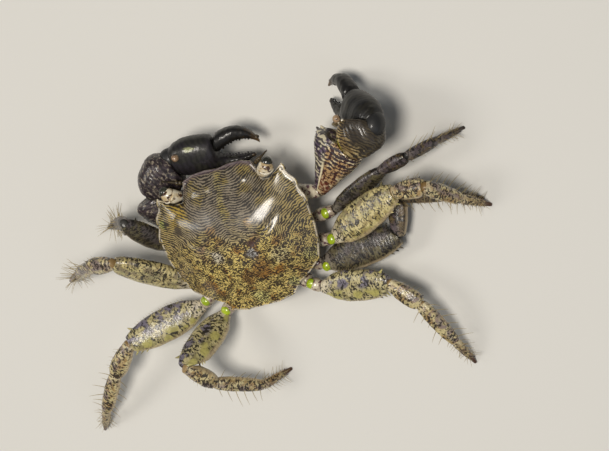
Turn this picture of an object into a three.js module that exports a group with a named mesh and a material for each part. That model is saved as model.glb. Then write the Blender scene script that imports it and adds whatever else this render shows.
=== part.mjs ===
// Marbled rock crab (Pachygrapsus marmoratus), an adult standing as a still model.
// Millimetres, +Z up, +Y ahead of the crab, +X to its right. The feet stand at z = 0.

import * as THREE from 'three';

// ---- Driving dimensions ----

const SHELL_WIDTH = 35;
const HALF_WIDTH = SHELL_WIDTH / 2;
const DOME_RISE = 3.9; // from the rim's plane to the top of the shell
const SHELL_UNDER = -4.2; // flat underside of the shell, in the body's own frame
const BODY_PITCH = 7.5; // degrees, front up
const BODY_LIFT = 11.9; // from the floor to the rim's plane
const GAP = 0.3; // between neighbouring pieces
const RING_STEP = 0.14; // least distance between rings that a joint's plane presses together
const LEG_SIDES = 10;
const CLAW_SIDES = 14;
const FEELER_SIDES = 6;
const FEELER_STEPS = 6;
const FOOT_RADIUS = 0.34;
const SOFTENING_ROUNDS = 6;
const EVEN_BELOW_RIM = 0.18; // share of the way in over which the rim's teeth fade out

// Lengths, widths and thicknesses of merus, carpus, propodus and dactyl for each pair of legs.
const LEG_LENGTHS = [
  [14.5, 7.1, 8.1, 6.8],
  [18.4, 7.8, 9.8, 7.6],
  [18.4, 8.5, 11.2, 8.1],
  [16.0, 7.8, 10.9, 7.5],
];
const LEG_WIDTHS = [
  [5.2, 3.5, 2.9, 1.9],
  [7.6, 4.3, 3.4, 2.1],
  [7.4, 4.3, 3.4, 2.1],
  [7.0, 4.0, 3.3, 2.0],
];
const THICKNESS_SHARE = [0.46, 0.66, 0.66, 0.8];

// Each leg of the pose: where it leaves the body (coxa), where its merus starts (base), the
// heading of merus, carpus, propodus and dactyl in degrees from +X towards +Y, and the rise of
// the first three. The dactyl reaches down to the floor. Roll tips a flat leg's front edge up.
const LEG_POSES = {
  leg_right_1: {
    coxa: [9.8, -0.6, 4.9],
    base: [20.2, 0.3, 5.3],
    turn: [22, 12, 12, 10],
    rise: [12, 15, -41],
    roll: 58,
  },
  leg_right_2: {
    coxa: [9.8, -4.4, 4.8],
    base: [18.3, -5.5, 5.4],
    turn: [20, -3, -45, -36],
    rise: [13, 21, -45],
    roll: -9,
  },
  leg_right_3: {
    coxa: [9.5, -8.1, 4.5],
    base: [13.6, -10.3, 3.6],
    turn: [5, 76, -14, -27],
    rise: [2, 1, 3],
    roll: 0,
  },
  leg_right_4: {
    coxa: [7.7, -11.6, 4.6],
    base: [12.5, -14.8, 5.2],
    turn: [-10, -49, -68, -74],
    rise: [10, -4, -17],
    roll: 10,
  },
  leg_left_1: {
    coxa: [-9.8, -1.2, 4.9],
    base: [-18.2, 2.0, 6.3],
    turn: [113, 178, 178, 186],
    rise: [53, -60, -56],
    roll: 0,
  },
  leg_left_2: {
    coxa: [-9.8, -4.6, 4.7],
    base: [-16.1, -6.9, 5.0],
    turn: [142, 176, 190, 192],
    rise: [34, -22, -47],
    roll: 40,
  },
  leg_left_3: {
    coxa: [-9.5, -8.2, 4.5],
    base: [-15.5, -12.0, 4.5],
    turn: [192, 224, 228, 227],
    rise: [18, -7, -22],
    roll: 0,
  },
  leg_left_4: {
    coxa: [-7.4, -11.6, 4.6],
    base: [-11.1, -15.0, 4.2],
    turn: [226, 305, 334, 375],
    rise: [46, -32, -37],
    roll: -10,
  },
};

// Claws, in the body's own frame: joints from the sternum to the fingertips, and the direction
// across each piece towards its inner edge (merus, carpus) or towards the movable finger (palm).
const CLAW_POSES = {
  claw_right: {
    coxa: [9.6, 5.8, -7.0],
    merus: [19.2, 4.4, -4.9],
    carpus: [28.6, 12.9, -2.4],
    palm: [37.0, 15.4, 0.3],
    tip: [25.8, 23.1, -13.0],
    inner: [-0.8, 0.54, -0.27],
    finger: [0.49, 0.87, 0.09],
  },
  claw_left: {
    coxa: [-8.9, 6.6, -7.3],
    merus: [-14.4, 2.9, -6.4],
    carpus: [-17.3, 13.6, -4.2],
    palm: [-10.6, 20.0, -4.6],
    tip: [8.2, 17.0, -8.2],
    inner: [0.86, 0.3, -0.25],
    finger: [0.08, 0.95, 0.25],
  },
};
const FINGER_ROOT = 10.0; // along the palm, where the movable finger starts
const CLAW_LENGTH = 19.8; // from the palm's joint to the movable finger's tip
const FREE_END = 5; // a plane this far past the fingertips presses on nothing

// Right half of the shell's rim from the middle of the front to the middle of the rear.
const SHELL_RIM = [
  [0, 15.6, -1.5],
  [2.8, 16.0, -1.4],
  [5.8, 15.9, -1.2],
  [8.0, 15.2, -0.9],
  [8.7, 13.0, -0.8],
  [9.4, 10.8, -0.5],
  [11.2, 10.8, -0.2],
  [14.6, 13.0, 0],
  [15.2, 10.7, 0],
  [16.4, 9.3, 0],
  [16.5, 7.1, 0],
  [HALF_WIDTH - 0.1, 5.1, 0],
  [HALF_WIDTH - 0.3, 2.4, -0.1],
  [HALF_WIDTH - 0.4, -1.2, -0.7],
  [16.4, -5.0, -1.5],
  [14.9, -8.9, -2.3],
  [11.9, -11.2, -2.4],
  [9.1, -12.7, -2.1],
  [7.4, -14.7, -1.3],
  [3.8, -15.4, -1.0],
  [0, -15.3, -0.9],
];

const STERNUM_RIM = [
  [0, 6.4],
  [4.4, 6.6],
  [7.4, 5.2],
  [9.2, 2.4],
  [9.3, -3.0],
  [9.0, -8.0],
  [6.9, -11.6],
  [3.2, -13.0],
  [0, -13.2],
];

// The abdomen folds from the rear of the shell forwards under the sternum: y, z, half width.
const ABDOMEN_PATH = [
  [-15.0, -3.0, 4.3],
  [-15.3, -5.2, 4.7],
  [-14.7, -7.7, 4.6],
  [-12.4, -9.3, 4.2],
  [-8.0, -9.9, 3.4],
  [-2.0, -10.0, 2.4],
  [3.4, -9.7, 1.1],
];
const ABDOMEN_THICKNESS = 0.9;

// ---- Colours ----

const paint = (colour, roughness) =>
  new THREE.MeshStandardMaterial({ color: colour, roughness, metalness: 0 });

const SHELL_PAINT = paint(0x4c4526, 0.3);
const UNDER_PAINT = paint(0xcfc6a4, 0.5);
const LEG_PAINT = paint(0x8f8a5c, 0.45);
const FOOT_PAINT = paint(0x6b4a24, 0.5);
const CLAW_PAINT = paint(0x6a4a44, 0.4);
const STALK_PAINT = paint(0xd8cba6, 0.4);
const EYE_PAINT = paint(0x2b2a20, 0.15);
const FEELER_PAINT = paint(0x7a6440, 0.5);

// ---- Helpers ----

const radians = THREE.MathUtils.degToRad;
const degrees = THREE.MathUtils.radToDeg;
const vec = (list) => new THREE.Vector3(...list);

function heading(turn, rise) {
  const across = Math.cos(radians(rise));
  return new THREE.Vector3(
    across * Math.cos(radians(turn)),
    across * Math.sin(radians(turn)),
    Math.sin(radians(rise)),
  );
}

// A closed solid from rings of points that run the same way round, seen from the last ring
// anticlockwise. Each end is closed by a fan to its own middle.
function solidFromRings(rings) {
  const sides = rings[0].length;
  const points = rings.flat();
  const faces = [];
  for (let ring = 0; ring + 1 < rings.length; ring += 1) {
    for (let side = 0; side < sides; side += 1) {
      const a = ring * sides + side;
      const b = ring * sides + ((side + 1) % sides);
      faces.push(a, b, b + sides);
      faces.push(a, b + sides, a + sides);
    }
  }
  const middleOf = (ring) => {
    const sum = new THREE.Vector3();
    ring.forEach((point) => sum.add(point));
    return sum.divideScalar(sides);
  };
  const first = points.length;
  points.push(middleOf(rings[0]));
  points.push(middleOf(rings[rings.length - 1]));
  const lastRing = (rings.length - 1) * sides;
  for (let side = 0; side < sides; side += 1) {
    const next = (side + 1) % sides;
    faces.push(first, next, side);
    faces.push(first + 1, lastRing + side, lastRing + next);
  }
  const geometry = new THREE.BufferGeometry();
  const places = new Float32Array(points.flatMap((point) => [point.x, point.y, point.z]));
  geometry.setAttribute('position', new THREE.BufferAttribute(places, 3));
  geometry.setIndex(faces);
  geometry.computeVertexNormals();
  return geometry;
}

function mesh(name, geometry, material) {
  const piece = new THREE.Mesh(geometry, material);
  piece.name = name;
  return piece;
}

// Moves a point along a direction until it is at least `least` ahead of a joint's plane.
function pressBehind(point, along, plane, least) {
  const ahead = point.clone().sub(plane.at).dot(plane.normal);
  if (ahead >= least) return;
  point.addScaledVector(along, (least - ahead) / along.dot(plane.normal));
}

// A limb piece from `start` towards `end`. Each profile row gives the share of the length, the
// half width, the half thickness, and how far the middle is carried across and up. The piece
// keeps clear of the planes at its two ends, so that neighbours never meet.
function limb({ start, end, across, profile, sides, power = 2.4, startPlane, endPlane }) {
  const along = end.clone().sub(start);
  const length = along.length();
  along.normalize();
  const wide = across.clone().addScaledVector(along, -across.dot(along)).normalize();
  const thick = along.clone().cross(wide);
  const rings = profile.map(([share, halfWidth, halfThick, shift = 0, lift = 0], index) => {
    const ring = [];
    for (let side = 0; side < sides; side += 1) {
      const angle = (2 * Math.PI * side) / sides;
      const round = (value) => Math.sign(value) * Math.abs(value) ** (2 / power);
      const point = start.clone().addScaledVector(along, share * length);
      point.addScaledVector(wide, shift + halfWidth * round(Math.cos(angle)));
      point.addScaledVector(thick, lift + halfThick * round(Math.sin(angle)));
      const back = { at: endPlane.at, normal: endPlane.normal.clone().negate() };
      const fromEnd = profile.length - 1 - index;
      pressBehind(point, along, startPlane, GAP / 2 + index * RING_STEP);
      pressBehind(point, along, back, GAP / 2 + fromEnd * RING_STEP);
      ring.push(point);
    }
    return ring;
  });
  return solidFromRings(rings);
}

// The plane of a joint lies halfway between the directions of its two pieces.
function jointPlane(at, before, after) {
  return { at, normal: before.clone().add(after).normalize() };
}

const FLOOR_PLANE = { at: new THREE.Vector3(0, 0, -GAP / 2), normal: new THREE.Vector3(0, 0, -1) };

// ---- Body ----

// A slab whose outline is a rim mirrored about the middle, built in rings that shrink to a
// middle. Each level gives the scale and a function of the rim point that returns the height.
function mirroredRim(half) {
  const right = half.map((point) => vec([point[0], point[1], point[2] ?? 0]));
  const left = right.slice(1, -1).map((point) => new THREE.Vector3(-point.x, point.y, point.z));
  return [...right, ...left.reverse()].reverse();
}

// The rim with its teeth and notches evened out, for the rings further in.
function softened(rim) {
  let soft = rim;
  for (let round = 0; round < SOFTENING_ROUNDS; round += 1) {
    soft = soft.map((point, index) => {
      const before = soft[(index + soft.length - 1) % soft.length];
      const after = soft[(index + 1) % soft.length];
      return before.clone().add(after).multiplyScalar(0.25).addScaledVector(point, 0.5);
    });
  }
  return soft;
}

function slab(rim, middleY, levels) {
  const soft = softened(rim);
  const rings = levels.map(({ scale, height }) =>
    rim.map((sharp, index) => {
      const evened = Math.min((1 - scale) / EVEN_BELOW_RIM, 1);
      const edge = sharp.clone().lerp(soft[index], evened);
      const y = middleY + (edge.y - middleY) * scale;
      return new THREE.Vector3(edge.x * scale, y, height(edge, scale));
    }),
  );
  return solidFromRings(rings);
}

const domeHeight = (edge, scale) => edge.z * scale ** 2 + DOME_RISE * (1 - scale ** 2.4);

function carapace() {
  const under = (drop, share) => (edge) => edge.z * (1 - share) - drop;
  const levels = [
    { scale: 0.3, height: () => SHELL_UNDER },
    { scale: 0.66, height: () => SHELL_UNDER },
    { scale: 0.84, height: under(3.2, 0.4) },
    { scale: 0.96, height: under(1.5, 0) },
    { scale: 1, height: under(0.55, 0) },
    { scale: 1, height: domeHeight },
    { scale: 0.95, height: domeHeight },
    { scale: 0.82, height: domeHeight },
    { scale: 0.62, height: domeHeight },
    { scale: 0.34, height: domeHeight },
    { scale: 0.08, height: domeHeight },
  ];
  return slab(mirroredRim(SHELL_RIM), 0.5, levels);
}

function sternum() {
  const levels = [
    { scale: 0.4, height: () => -9.0 },
    { scale: 0.78, height: () => -8.7 },
    { scale: 1, height: () => -7.9 },
    { scale: 1, height: () => SHELL_UNDER - GAP },
    { scale: 0.5, height: () => SHELL_UNDER - GAP },
  ];
  return slab(mirroredRim(STERNUM_RIM), -3, levels);
}

function abdomen() {
  const rings = ABDOMEN_PATH.map(([y, z, halfWidth], index) => {
    const before = ABDOMEN_PATH[Math.max(index - 1, 0)];
    const after = ABDOMEN_PATH[Math.min(index + 1, ABDOMEN_PATH.length - 1)];
    const along = new THREE.Vector3(0, after[0] - before[0], after[1] - before[1]).normalize();
    const out = new THREE.Vector3(0, along.z, -along.y);
    const half = ABDOMEN_THICKNESS / 2;
    const corner = (x, proud) => new THREE.Vector3(x, y, z).addScaledVector(out, proud);
    return [
      corner(halfWidth, -half),
      corner(halfWidth, half * 0.4),
      corner(halfWidth * 0.5, half),
      corner(-halfWidth * 0.5, half),
      corner(-halfWidth, half * 0.4),
      corner(-halfWidth, -half),
    ];
  });
  return solidFromRings(rings);
}

function mouthparts() {
  const levels = [
    [SHELL_UNDER - GAP, 10.0, 4.9, 2.3],
    [-6.2, 9.7, 4.9, 2.4],
    [-7.8, 9.1, 4.3, 1.9],
    [-9.2, 8.2, 3.1, 1.1],
  ];
  const rings = levels.map(([z, y, halfWidth, halfDepth]) => {
    const ring = [];
    for (let side = 0; side < LEG_SIDES; side += 1) {
      const angle = (2 * Math.PI * side) / LEG_SIDES;
      const round = (value) => Math.sign(value) * Math.abs(value) ** 0.7;
      const across = halfWidth * round(Math.cos(angle));
      ring.push(new THREE.Vector3(across, y + halfDepth * round(Math.sin(angle)), z));
    }
    return ring;
  });
  return solidFromRings(rings.reverse());
}

const EYE_JOINTS = [
  [9.4, 12.2, -0.8],
  [11.4, 13.1, 0.5],
  [12.5, 15.0, 0.9],
];
const EYE_PROFILES = {
  eyestalk: [[0, 0.9, 0.9], [0.3, 1.3, 1.3], [0.7, 1.5, 1.5], [1, 1.35, 1.35]],
  eye: [[0, 1.25, 1.25], [0.25, 1.5, 1.5], [0.6, 1.35, 1.35], [0.9, 0.8, 0.8], [1, 0.3, 0.3]],
};

function eyePiece(piece, sign) {
  const joints = EYE_JOINTS.map(([x, y, z]) => new THREE.Vector3(sign * x, y, z));
  const stalkAlong = joints[1].clone().sub(joints[0]).normalize();
  const eyeAlong = joints[2].clone().sub(joints[1]).normalize();
  const middlePlane = jointPlane(joints[1], stalkAlong, eyeAlong);
  const isStalk = piece === 'eyestalk';
  return limb({
    start: joints[isStalk ? 0 : 1],
    end: joints[isStalk ? 1 : 2],
    across: new THREE.Vector3(0, 0, 1),
    profile: EYE_PROFILES[piece],
    sides: LEG_SIDES,
    power: 2,
    startPlane: isStalk ? { at: joints[0], normal: stalkAlong } : middlePlane,
    endPlane: isStalk ? middlePlane : { at: joints[2], normal: eyeAlong },
  });
}

function antenna(sign) {
  const rings = [];
  for (let step = 0; step <= FEELER_STEPS; step += 1) {
    const share = step / FEELER_STEPS;
    const middle = new THREE.Vector3(
      sign * (8.2 + 4.4 * share),
      14.3 + 2.2 * share,
      -2.8 + 2.5 * share,
    );
    const radius = 0.62 - 0.34 * share;
    const ring = [];
    for (let side = 0; side < FEELER_SIDES; side += 1) {
      const angle = (2 * Math.PI * side) / FEELER_SIDES;
      const out = new THREE.Vector3(-Math.cos(angle), 0, Math.sin(angle));
      ring.push(middle.clone().addScaledVector(out, radius));
    }
    rings.push(ring);
  }
  return solidFromRings(rings);
}

// ---- Legs ----

const LEG_PROFILES = {
  merus: [
    [0, 0.36, 0.6],
    [0.07, 0.5, 0.75],
    [0.22, 0.84, 0.95],
    [0.45, 1, 1],
    [0.68, 0.95, 1],
    [0.86, 0.78, 0.9],
    [0.95, 0.62, 0.8],
    [1, 0.5, 0.66],
  ],
  carpus: [
    [0, 0.6, 0.7],
    [0.14, 0.72, 0.85],
    [0.4, 0.92, 1],
    [0.72, 1, 1],
    [0.9, 0.86, 0.9],
    [1, 0.68, 0.74],
  ],
  propodus: [
    [0, 0.74, 0.8],
    [0.12, 0.9, 0.95],
    [0.4, 1, 1],
    [0.75, 0.92, 0.92],
    [0.93, 0.76, 0.8],
    [1, 0.62, 0.66],
  ],
  dactyl: [
    [0, 0.9, 0.9],
    [0.12, 1, 1],
    [0.45, 0.86, 0.86],
    [0.75, 0.62, 0.62],
    [0.92, 0.42, 0.42],
  ],
};
const LEG_PIECES = ['merus', 'carpus', 'propodus', 'dactyl'];

// The width of a leg lies level across it, rolled about its length, and points to its front.
function legAcross(along, roll, side) {
  const level = new THREE.Vector3(0, 0, 1).cross(along).multiplyScalar(side).normalize();
  return level.applyAxisAngle(along, radians(roll) * side);
}

function addLeg(group, name, pose) {
  const pair = Number(name.slice(-1)) - 1;
  const side = name.includes('right') ? 1 : -1;
  const joints = [vec(pose.coxa), vec(pose.base)];
  LEG_PIECES.forEach((piece, index) => {
    const length = LEG_LENGTHS[pair][index];
    const from = joints[joints.length - 1];
    const rise = pose.rise[index] ?? -degrees(Math.asin(from.z / length));
    joints.push(from.clone().addScaledVector(heading(pose.turn[index], rise), length));
  });
  const alongs = joints.slice(1).map((point, index) => point.clone().sub(joints[index]).normalize());
  const planes = joints.map((at, index) => {
    if (index === 0) return { at, normal: alongs[0] };
    if (index === joints.length - 1) return FLOOR_PLANE;
    return jointPlane(at, alongs[index - 1], alongs[index]);
  });
  const baseProfile = [[0, 1.5, 1.6], [0.3, 1.6, 1.75], [0.75, 1.35, 1.55], [1, 1.2, 1.3]];
  group.add(mesh(`${name}_base`, limb({
    start: joints[0],
    end: joints[1],
    across: legAcross(alongs[0], 0, side),
    profile: baseProfile,
    sides: LEG_SIDES,
    startPlane: planes[0],
    endPlane: planes[1],
  }), UNDER_PAINT));
  LEG_PIECES.forEach((piece, index) => {
    const halfWidth = LEG_WIDTHS[pair][index] / 2;
    const halfThick = halfWidth * THICKNESS_SHARE[index];
    const profile = LEG_PROFILES[piece].map(([share, wide, thick]) => [
      share,
      wide * halfWidth,
      thick * halfThick,
    ]);
    if (piece === 'dactyl') profile.push([1, FOOT_RADIUS, FOOT_RADIUS]);
    group.add(mesh(`${name}_${piece}`, limb({
      start: joints[index + 1],
      end: joints[index + 2],
      across: legAcross(alongs[index + 1], pose.roll, side),
      profile,
      sides: LEG_SIDES,
      startPlane: planes[index + 1],
      endPlane: planes[index + 2],
    }), piece === 'dactyl' ? FOOT_PAINT : LEG_PAINT));
  });
}

// ---- Claws ----

const CLAW_PROFILES = {
  base: [[0, 1.7, 1.6], [0.4, 1.9, 1.8], [0.8, 1.5, 1.5], [1, 1.2, 1.2]],
  merus: [
    [0, 1.3, 1.2, 0],
    [0.12, 1.9, 1.5, 0.1],
    [0.45, 3.6, 2.4, 0.4],
    [0.78, 5.4, 3.0, 0.9],
    [0.92, 5.7, 3.0, 1.0],
    [1, 4.6, 2.6, 0.6],
  ],
  carpus: [
    [0, 2.4, 2.2, -0.4],
    [0.14, 3.8, 3.1, -0.2],
    [0.4, 4.8, 3.6, 0],
    [0.7, 4.9, 3.6, 0.1],
    [0.9, 4.0, 3.1, 0],
    [1, 2.6, 2.3, 0],
  ],
  palm: [
    [0, 2.4, 2.0, 0],
    [1.3, 3.4, 2.7, 0],
    [3.4, 4.1, 3.1, 0.1],
    [6.8, 4.4, 3.1, 0],
    [FINGER_ROOT, 4.1, 2.7, -0.2],
    [FINGER_ROOT + 0.16, 1.8, 1.9, -2.5],
    [12.2, 1.4, 1.5, -2.7],
    [15.0, 1.0, 1.1, -2.6],
    [17.0, 0.65, 0.7, -2.2],
    [18.2, 0.3, 0.3, -1.7],
  ],
  finger: [
    [FINGER_ROOT + 0.16 + GAP, 1.9, 2.0, 2.0],
    [12.2, 1.8, 1.9, 3.0],
    [14.8, 1.5, 1.6, 3.7],
    [17.2, 1.15, 1.2, 3.3],
    [19.0, 0.7, 0.7, 2.0],
    [CLAW_LENGTH, 0.3, 0.3, 0.9],
  ],
};

function addClaw(group, name, pose) {
  const names = ['coxa', 'merus', 'carpus', 'palm', 'tip'];
  const joints = names.map((joint) => vec(pose[joint]));
  const alongs = joints.slice(1).map((point, index) => point.clone().sub(joints[index]).normalize());
  const planes = joints.map((at, index) => {
    if (index === 0) return { at, normal: alongs[0] };
    return index < alongs.length ? jointPlane(at, alongs[index - 1], alongs[index]) : null;
  });
  const inner = vec(pose.inner);
  const finger = vec(pose.finger);
  const pieces = [
    { piece: 'base', from: 0, across: inner, profile: CLAW_PROFILES.base },
    { piece: 'merus', from: 1, across: inner, profile: CLAW_PROFILES.merus },
    { piece: 'carpus', from: 2, across: inner, profile: CLAW_PROFILES.carpus },
  ];
  pieces.forEach(({ piece, from, across, profile }) => {
    group.add(mesh(`${name}_${piece}`, limb({
      start: joints[from],
      end: joints[from + 1],
      across,
      profile,
      sides: CLAW_SIDES,
      startPlane: planes[from],
      endPlane: planes[from + 1],
    }), piece === 'base' ? UNDER_PAINT : CLAW_PAINT));
  });
  ['palm', 'finger'].forEach((piece) => {
    const profile = CLAW_PROFILES[piece].map(([place, ...rest]) => [place / CLAW_LENGTH, ...rest]);
    const end = joints[3].clone().addScaledVector(alongs[3], CLAW_LENGTH);
    group.add(mesh(`${name}_${piece}`, limb({
      start: joints[3],
      end,
      across: finger,
      profile,
      sides: CLAW_SIDES,
      startPlane: planes[3],
      endPlane: { at: end.clone().addScaledVector(alongs[3], FREE_END), normal: alongs[3] },
    }), CLAW_PAINT));
  });
}

// ---- The crab ----

const crab = new THREE.Group();

const body = new THREE.Group();
body.rotation.x = radians(BODY_PITCH);
body.position.z = BODY_LIFT;
body.add(mesh('carapace', carapace(), SHELL_PAINT));
body.add(mesh('sternum', sternum(), UNDER_PAINT));
body.add(mesh('abdomen', abdomen(), UNDER_PAINT));
body.add(mesh('mouthparts', mouthparts(), UNDER_PAINT));
[['right', 1], ['left', -1]].forEach(([word, sign]) => {
  body.add(mesh(`eyestalk_${word}`, eyePiece('eyestalk', sign), STALK_PAINT));
  body.add(mesh(`eye_${word}`, eyePiece('eye', sign), EYE_PAINT));
  body.add(mesh(`antenna_${word}`, antenna(sign), FEELER_PAINT));
});
Object.entries(CLAW_POSES).forEach(([name, pose]) => addClaw(body, name, pose));
crab.add(body);
Object.entries(LEG_POSES).forEach(([name, pose]) => addLeg(crab, name, pose));

// The origin is at the middle of the space that the crab takes up, on the floor.
crab.updateMatrixWorld(true);
const middle = new THREE.Box3().setFromObject(crab, true).getCenter(new THREE.Vector3());
crab.position.set(-middle.x, -middle.y, 0);

export default crab;
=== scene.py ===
"""A life-size museum model of a marbled rock crab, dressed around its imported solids."""

import functools
import math

import bpy
import numpy as np
from mathutils import Matrix, Vector


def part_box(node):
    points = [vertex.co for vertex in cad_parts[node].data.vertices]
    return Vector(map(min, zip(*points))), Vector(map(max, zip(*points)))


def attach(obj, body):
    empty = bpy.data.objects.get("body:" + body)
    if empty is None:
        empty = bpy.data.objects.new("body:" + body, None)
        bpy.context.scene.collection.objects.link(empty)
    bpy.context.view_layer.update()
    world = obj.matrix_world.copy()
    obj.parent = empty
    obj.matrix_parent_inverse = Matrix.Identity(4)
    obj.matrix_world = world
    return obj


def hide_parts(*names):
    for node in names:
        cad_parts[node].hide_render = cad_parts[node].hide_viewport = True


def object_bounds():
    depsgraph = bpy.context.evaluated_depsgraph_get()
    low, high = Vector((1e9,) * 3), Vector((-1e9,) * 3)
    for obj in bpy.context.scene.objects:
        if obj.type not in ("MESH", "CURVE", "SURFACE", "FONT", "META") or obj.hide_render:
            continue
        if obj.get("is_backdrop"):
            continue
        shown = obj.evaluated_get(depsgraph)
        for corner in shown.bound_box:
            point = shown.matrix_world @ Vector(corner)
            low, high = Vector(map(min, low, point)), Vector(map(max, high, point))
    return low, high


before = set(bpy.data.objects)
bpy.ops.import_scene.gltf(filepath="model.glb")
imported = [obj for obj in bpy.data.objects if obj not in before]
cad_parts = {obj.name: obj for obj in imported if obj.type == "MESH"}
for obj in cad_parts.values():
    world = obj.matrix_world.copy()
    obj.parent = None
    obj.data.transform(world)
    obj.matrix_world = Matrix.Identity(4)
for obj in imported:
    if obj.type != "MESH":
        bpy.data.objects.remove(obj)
solid_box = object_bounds()

# ---- Driving sizes, in millimetres and degrees ----

MM = 0.001  # metres
BODY_PITCH = 7.5  # the face is carried higher than the tail
BODY_LIFT = 11.9  # from the floor to the plane of the shell's rim
JOINT_GAP = 0.05  # between the hard ends of neighbouring leg pieces
DOME_RISE = 3.9  # from the rim's plane to the middle of the back
SHELL_MIDDLE_Y = 0.5  # the rings of the back shrink towards this place
EVEN_BELOW_RIM = 0.18  # share of the way in over which the rim's teeth fade from the rings
RIM_THICKNESS = 0.55
FOOT_RADIUS = 0.34

# Half of the shell's rim, from the middle of the front to the middle of the rear.
SHELL_RIM = [
    (0, 15.6, -1.5), (2.8, 16.0, -1.4), (5.8, 15.9, -1.2), (8.0, 15.2, -0.9),
    (8.7, 13.0, -0.8), (9.4, 10.8, -0.5), (11.2, 10.8, -0.2),
    (14.6, 13.0, 0), (15.2, 10.7, 0), (16.4, 9.3, 0), (16.5, 7.1, 0), (17.4, 5.1, 0),
    (17.2, 2.4, -0.1), (17.1, -1.2, -0.7), (16.4, -5.0, -1.5), (14.9, -8.9, -2.3),
    (11.9, -11.2, -2.4), (9.1, -12.7, -2.1), (7.4, -14.7, -1.3), (3.8, -15.4, -1.0), (0, -15.3, -0.9),
]
STERNUM_RIM = [
    (0, 6.4), (4.4, 6.6), (7.4, 5.2), (9.2, 2.4), (9.3, -3), (9, -8), (6.9, -11.6),
    (3.2, -13), (0, -13.2),
]
# The folded tail, as forward place, height and half width from its root to its tip.
TAIL_PATH = [
    (-15.0, -3.0, 4.3), (-15.3, -5.2, 4.7), (-14.7, -7.7, 4.6), (-12.4, -9.3, 4.2),
    (-8.0, -9.9, 3.4), (-2.0, -10.0, 2.4), (3.4, -9.7, 1.1),
]
TAIL_THICKNESS = 0.9
EYE_JOINTS = [(9.4, 12.2, -0.8), (11.4, 13.1, 0.5), (12.5, 15.0, 0.9)]

# Legs: lengths and widths of merus, carpus, propodus and dactyl for each pair.
LEG_LENGTHS = [
    (14.5, 7.1, 8.1, 6.8), (18.4, 7.8, 9.8, 7.6), (18.4, 8.5, 11.2, 8.1), (16.0, 7.8, 10.9, 7.5),
]
LEG_WIDTHS = [(5.2, 3.5, 2.9, 1.9), (7.6, 4.3, 3.4, 2.1), (7.4, 4.3, 3.4, 2.1), (7.0, 4.0, 3.3, 2.0)]
THICKNESS_SHARE = (0.46, 0.66, 0.66, 0.8)
LEG_PIECES = ("merus", "carpus", "propodus", "dactyl")
# Each leg: where it leaves the body, where its merus starts, the headings from +X towards +Y,
# the rises of the first three pieces, and the roll of the flat leg's front edge.
LEG_POSES = {
    "leg_right_1": ((9.8, -0.6, 4.9), (20.2, 0.3, 5.3), (22, 12, 12, 10), (12, 15, -41), 58),
    "leg_right_2": ((9.8, -4.4, 4.8), (18.3, -5.5, 5.4), (20, -3, -45, -36), (13, 21, -45), -9),
    "leg_right_3": ((9.5, -8.1, 4.5), (13.6, -10.3, 3.6), (5, 76, -14, -27), (2, 1, 3), 0),
    "leg_right_4": ((7.7, -11.6, 4.6), (12.5, -14.8, 5.2), (-10, -49, -68, -74), (10, -4, -17), 10),
    "leg_left_1": ((-9.8, -1.2, 4.9), (-18.2, 2.0, 6.3), (113, 178, 178, 186), (53, -60, -56), 0),
    "leg_left_2": ((-9.8, -4.6, 4.7), (-16.1, -6.9, 5.0), (142, 176, 190, 192), (34, -22, -47), 40),
    "leg_left_3": ((-9.5, -8.2, 4.5), (-15.5, -12.0, 4.5), (192, 224, 228, 227), (18, -7, -22), 0),
    "leg_left_4": ((-7.4, -11.6, 4.6), (-11.1, -15.0, 4.2), (226, 305, 334, 375), (46, -32, -37), -10),
}
# These legs lie in the shadow of the limbs above them, so they take darker copies of the leg finishes:
# painted shade.
SHADE_PAINTED_LEGS = ("leg_right_1", "leg_left_1", "leg_right_3")
# Where the lime skin swells on the hip, as a share of its length.
LIME_SHARES = {"leg_right_1": 0.82, "leg_right_2": 0.97, "leg_right_3": 1.2, "leg_right_4": 0.6}
USUAL_LIME_SHARE = 0.8
BRUSH_TOES = ("leg_left_1", "leg_left_2")  # their toe bristles are longer, like a brush's
BRUSH_EXTRA = 1.0
# Each row of a profile: share of the length, half width, half thickness and, in claws, sideways shift.
# A leg's widths are shares of its own. A claw's are millimetres, and so are the lengths in the rows of
# its palm and finger.
LEG_PROFILES = {
    "merus": [
        (0, 0.36, 0.6), (0.07, 0.5, 0.75), (0.22, 0.84, 0.95), (0.45, 1, 1),
        (0.68, 0.95, 1), (0.86, 0.78, 0.9), (0.95, 0.62, 0.8), (1, 0.5, 0.66),
    ],
    "carpus": [
        (0, 0.6, 0.7), (0.14, 0.72, 0.85), (0.4, 0.92, 1), (0.72, 1, 1), (0.9, 0.86, 0.9), (1, 0.68, 0.74),
    ],
    "propodus": [
        (0, 0.74, 0.8), (0.12, 0.9, 0.95), (0.4, 1, 1), (0.75, 0.92, 0.92), (0.93, 0.76, 0.8),
        (1, 0.62, 0.66),
    ],
    "dactyl": [(0, 0.9, 0.9), (0.12, 1, 1), (0.45, 0.86, 0.86), (0.75, 0.62, 0.62), (0.92, 0.42, 0.42)],
}

# Claws: joints from the body to the fingertips, the inner side and the movable finger's side.
CLAW_POSES = {
    "claw_right": {
        "joints": [
            (9.6, 5.8, -7.0), (19.2, 4.4, -4.9), (28.6, 12.9, -2.4), (37.0, 15.4, 0.3),
            (25.8, 23.1, -13.0),
        ],
        "inner": (-0.8, 0.54, -0.27),
        "finger": (0.49, 0.87, 0.09),
        "knob": ("carpus", 0.7, 0.49, 0.7),  # its piece, share along it, angle and height
        "wrist": (2.75, 2.3, 1.95),  # dark skin that swells in the bend: along, across and outwards
    },
    "claw_left": {
        "joints": [
            (-8.9, 6.6, -7.3), (-14.4, 2.9, -6.4), (-17.3, 13.6, -4.2), (-10.6, 20.0, -4.6),
            (8.2, 17.0, -8.2),
        ],
        "inner": (0.86, 0.3, -0.25),
        "finger": (0.08, 0.95, 0.25),
        "knob": ("palm", 0.085, 1.27, 0.1),
        "wrist": (2.5, 2.2, 2.5),
    },
}
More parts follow.
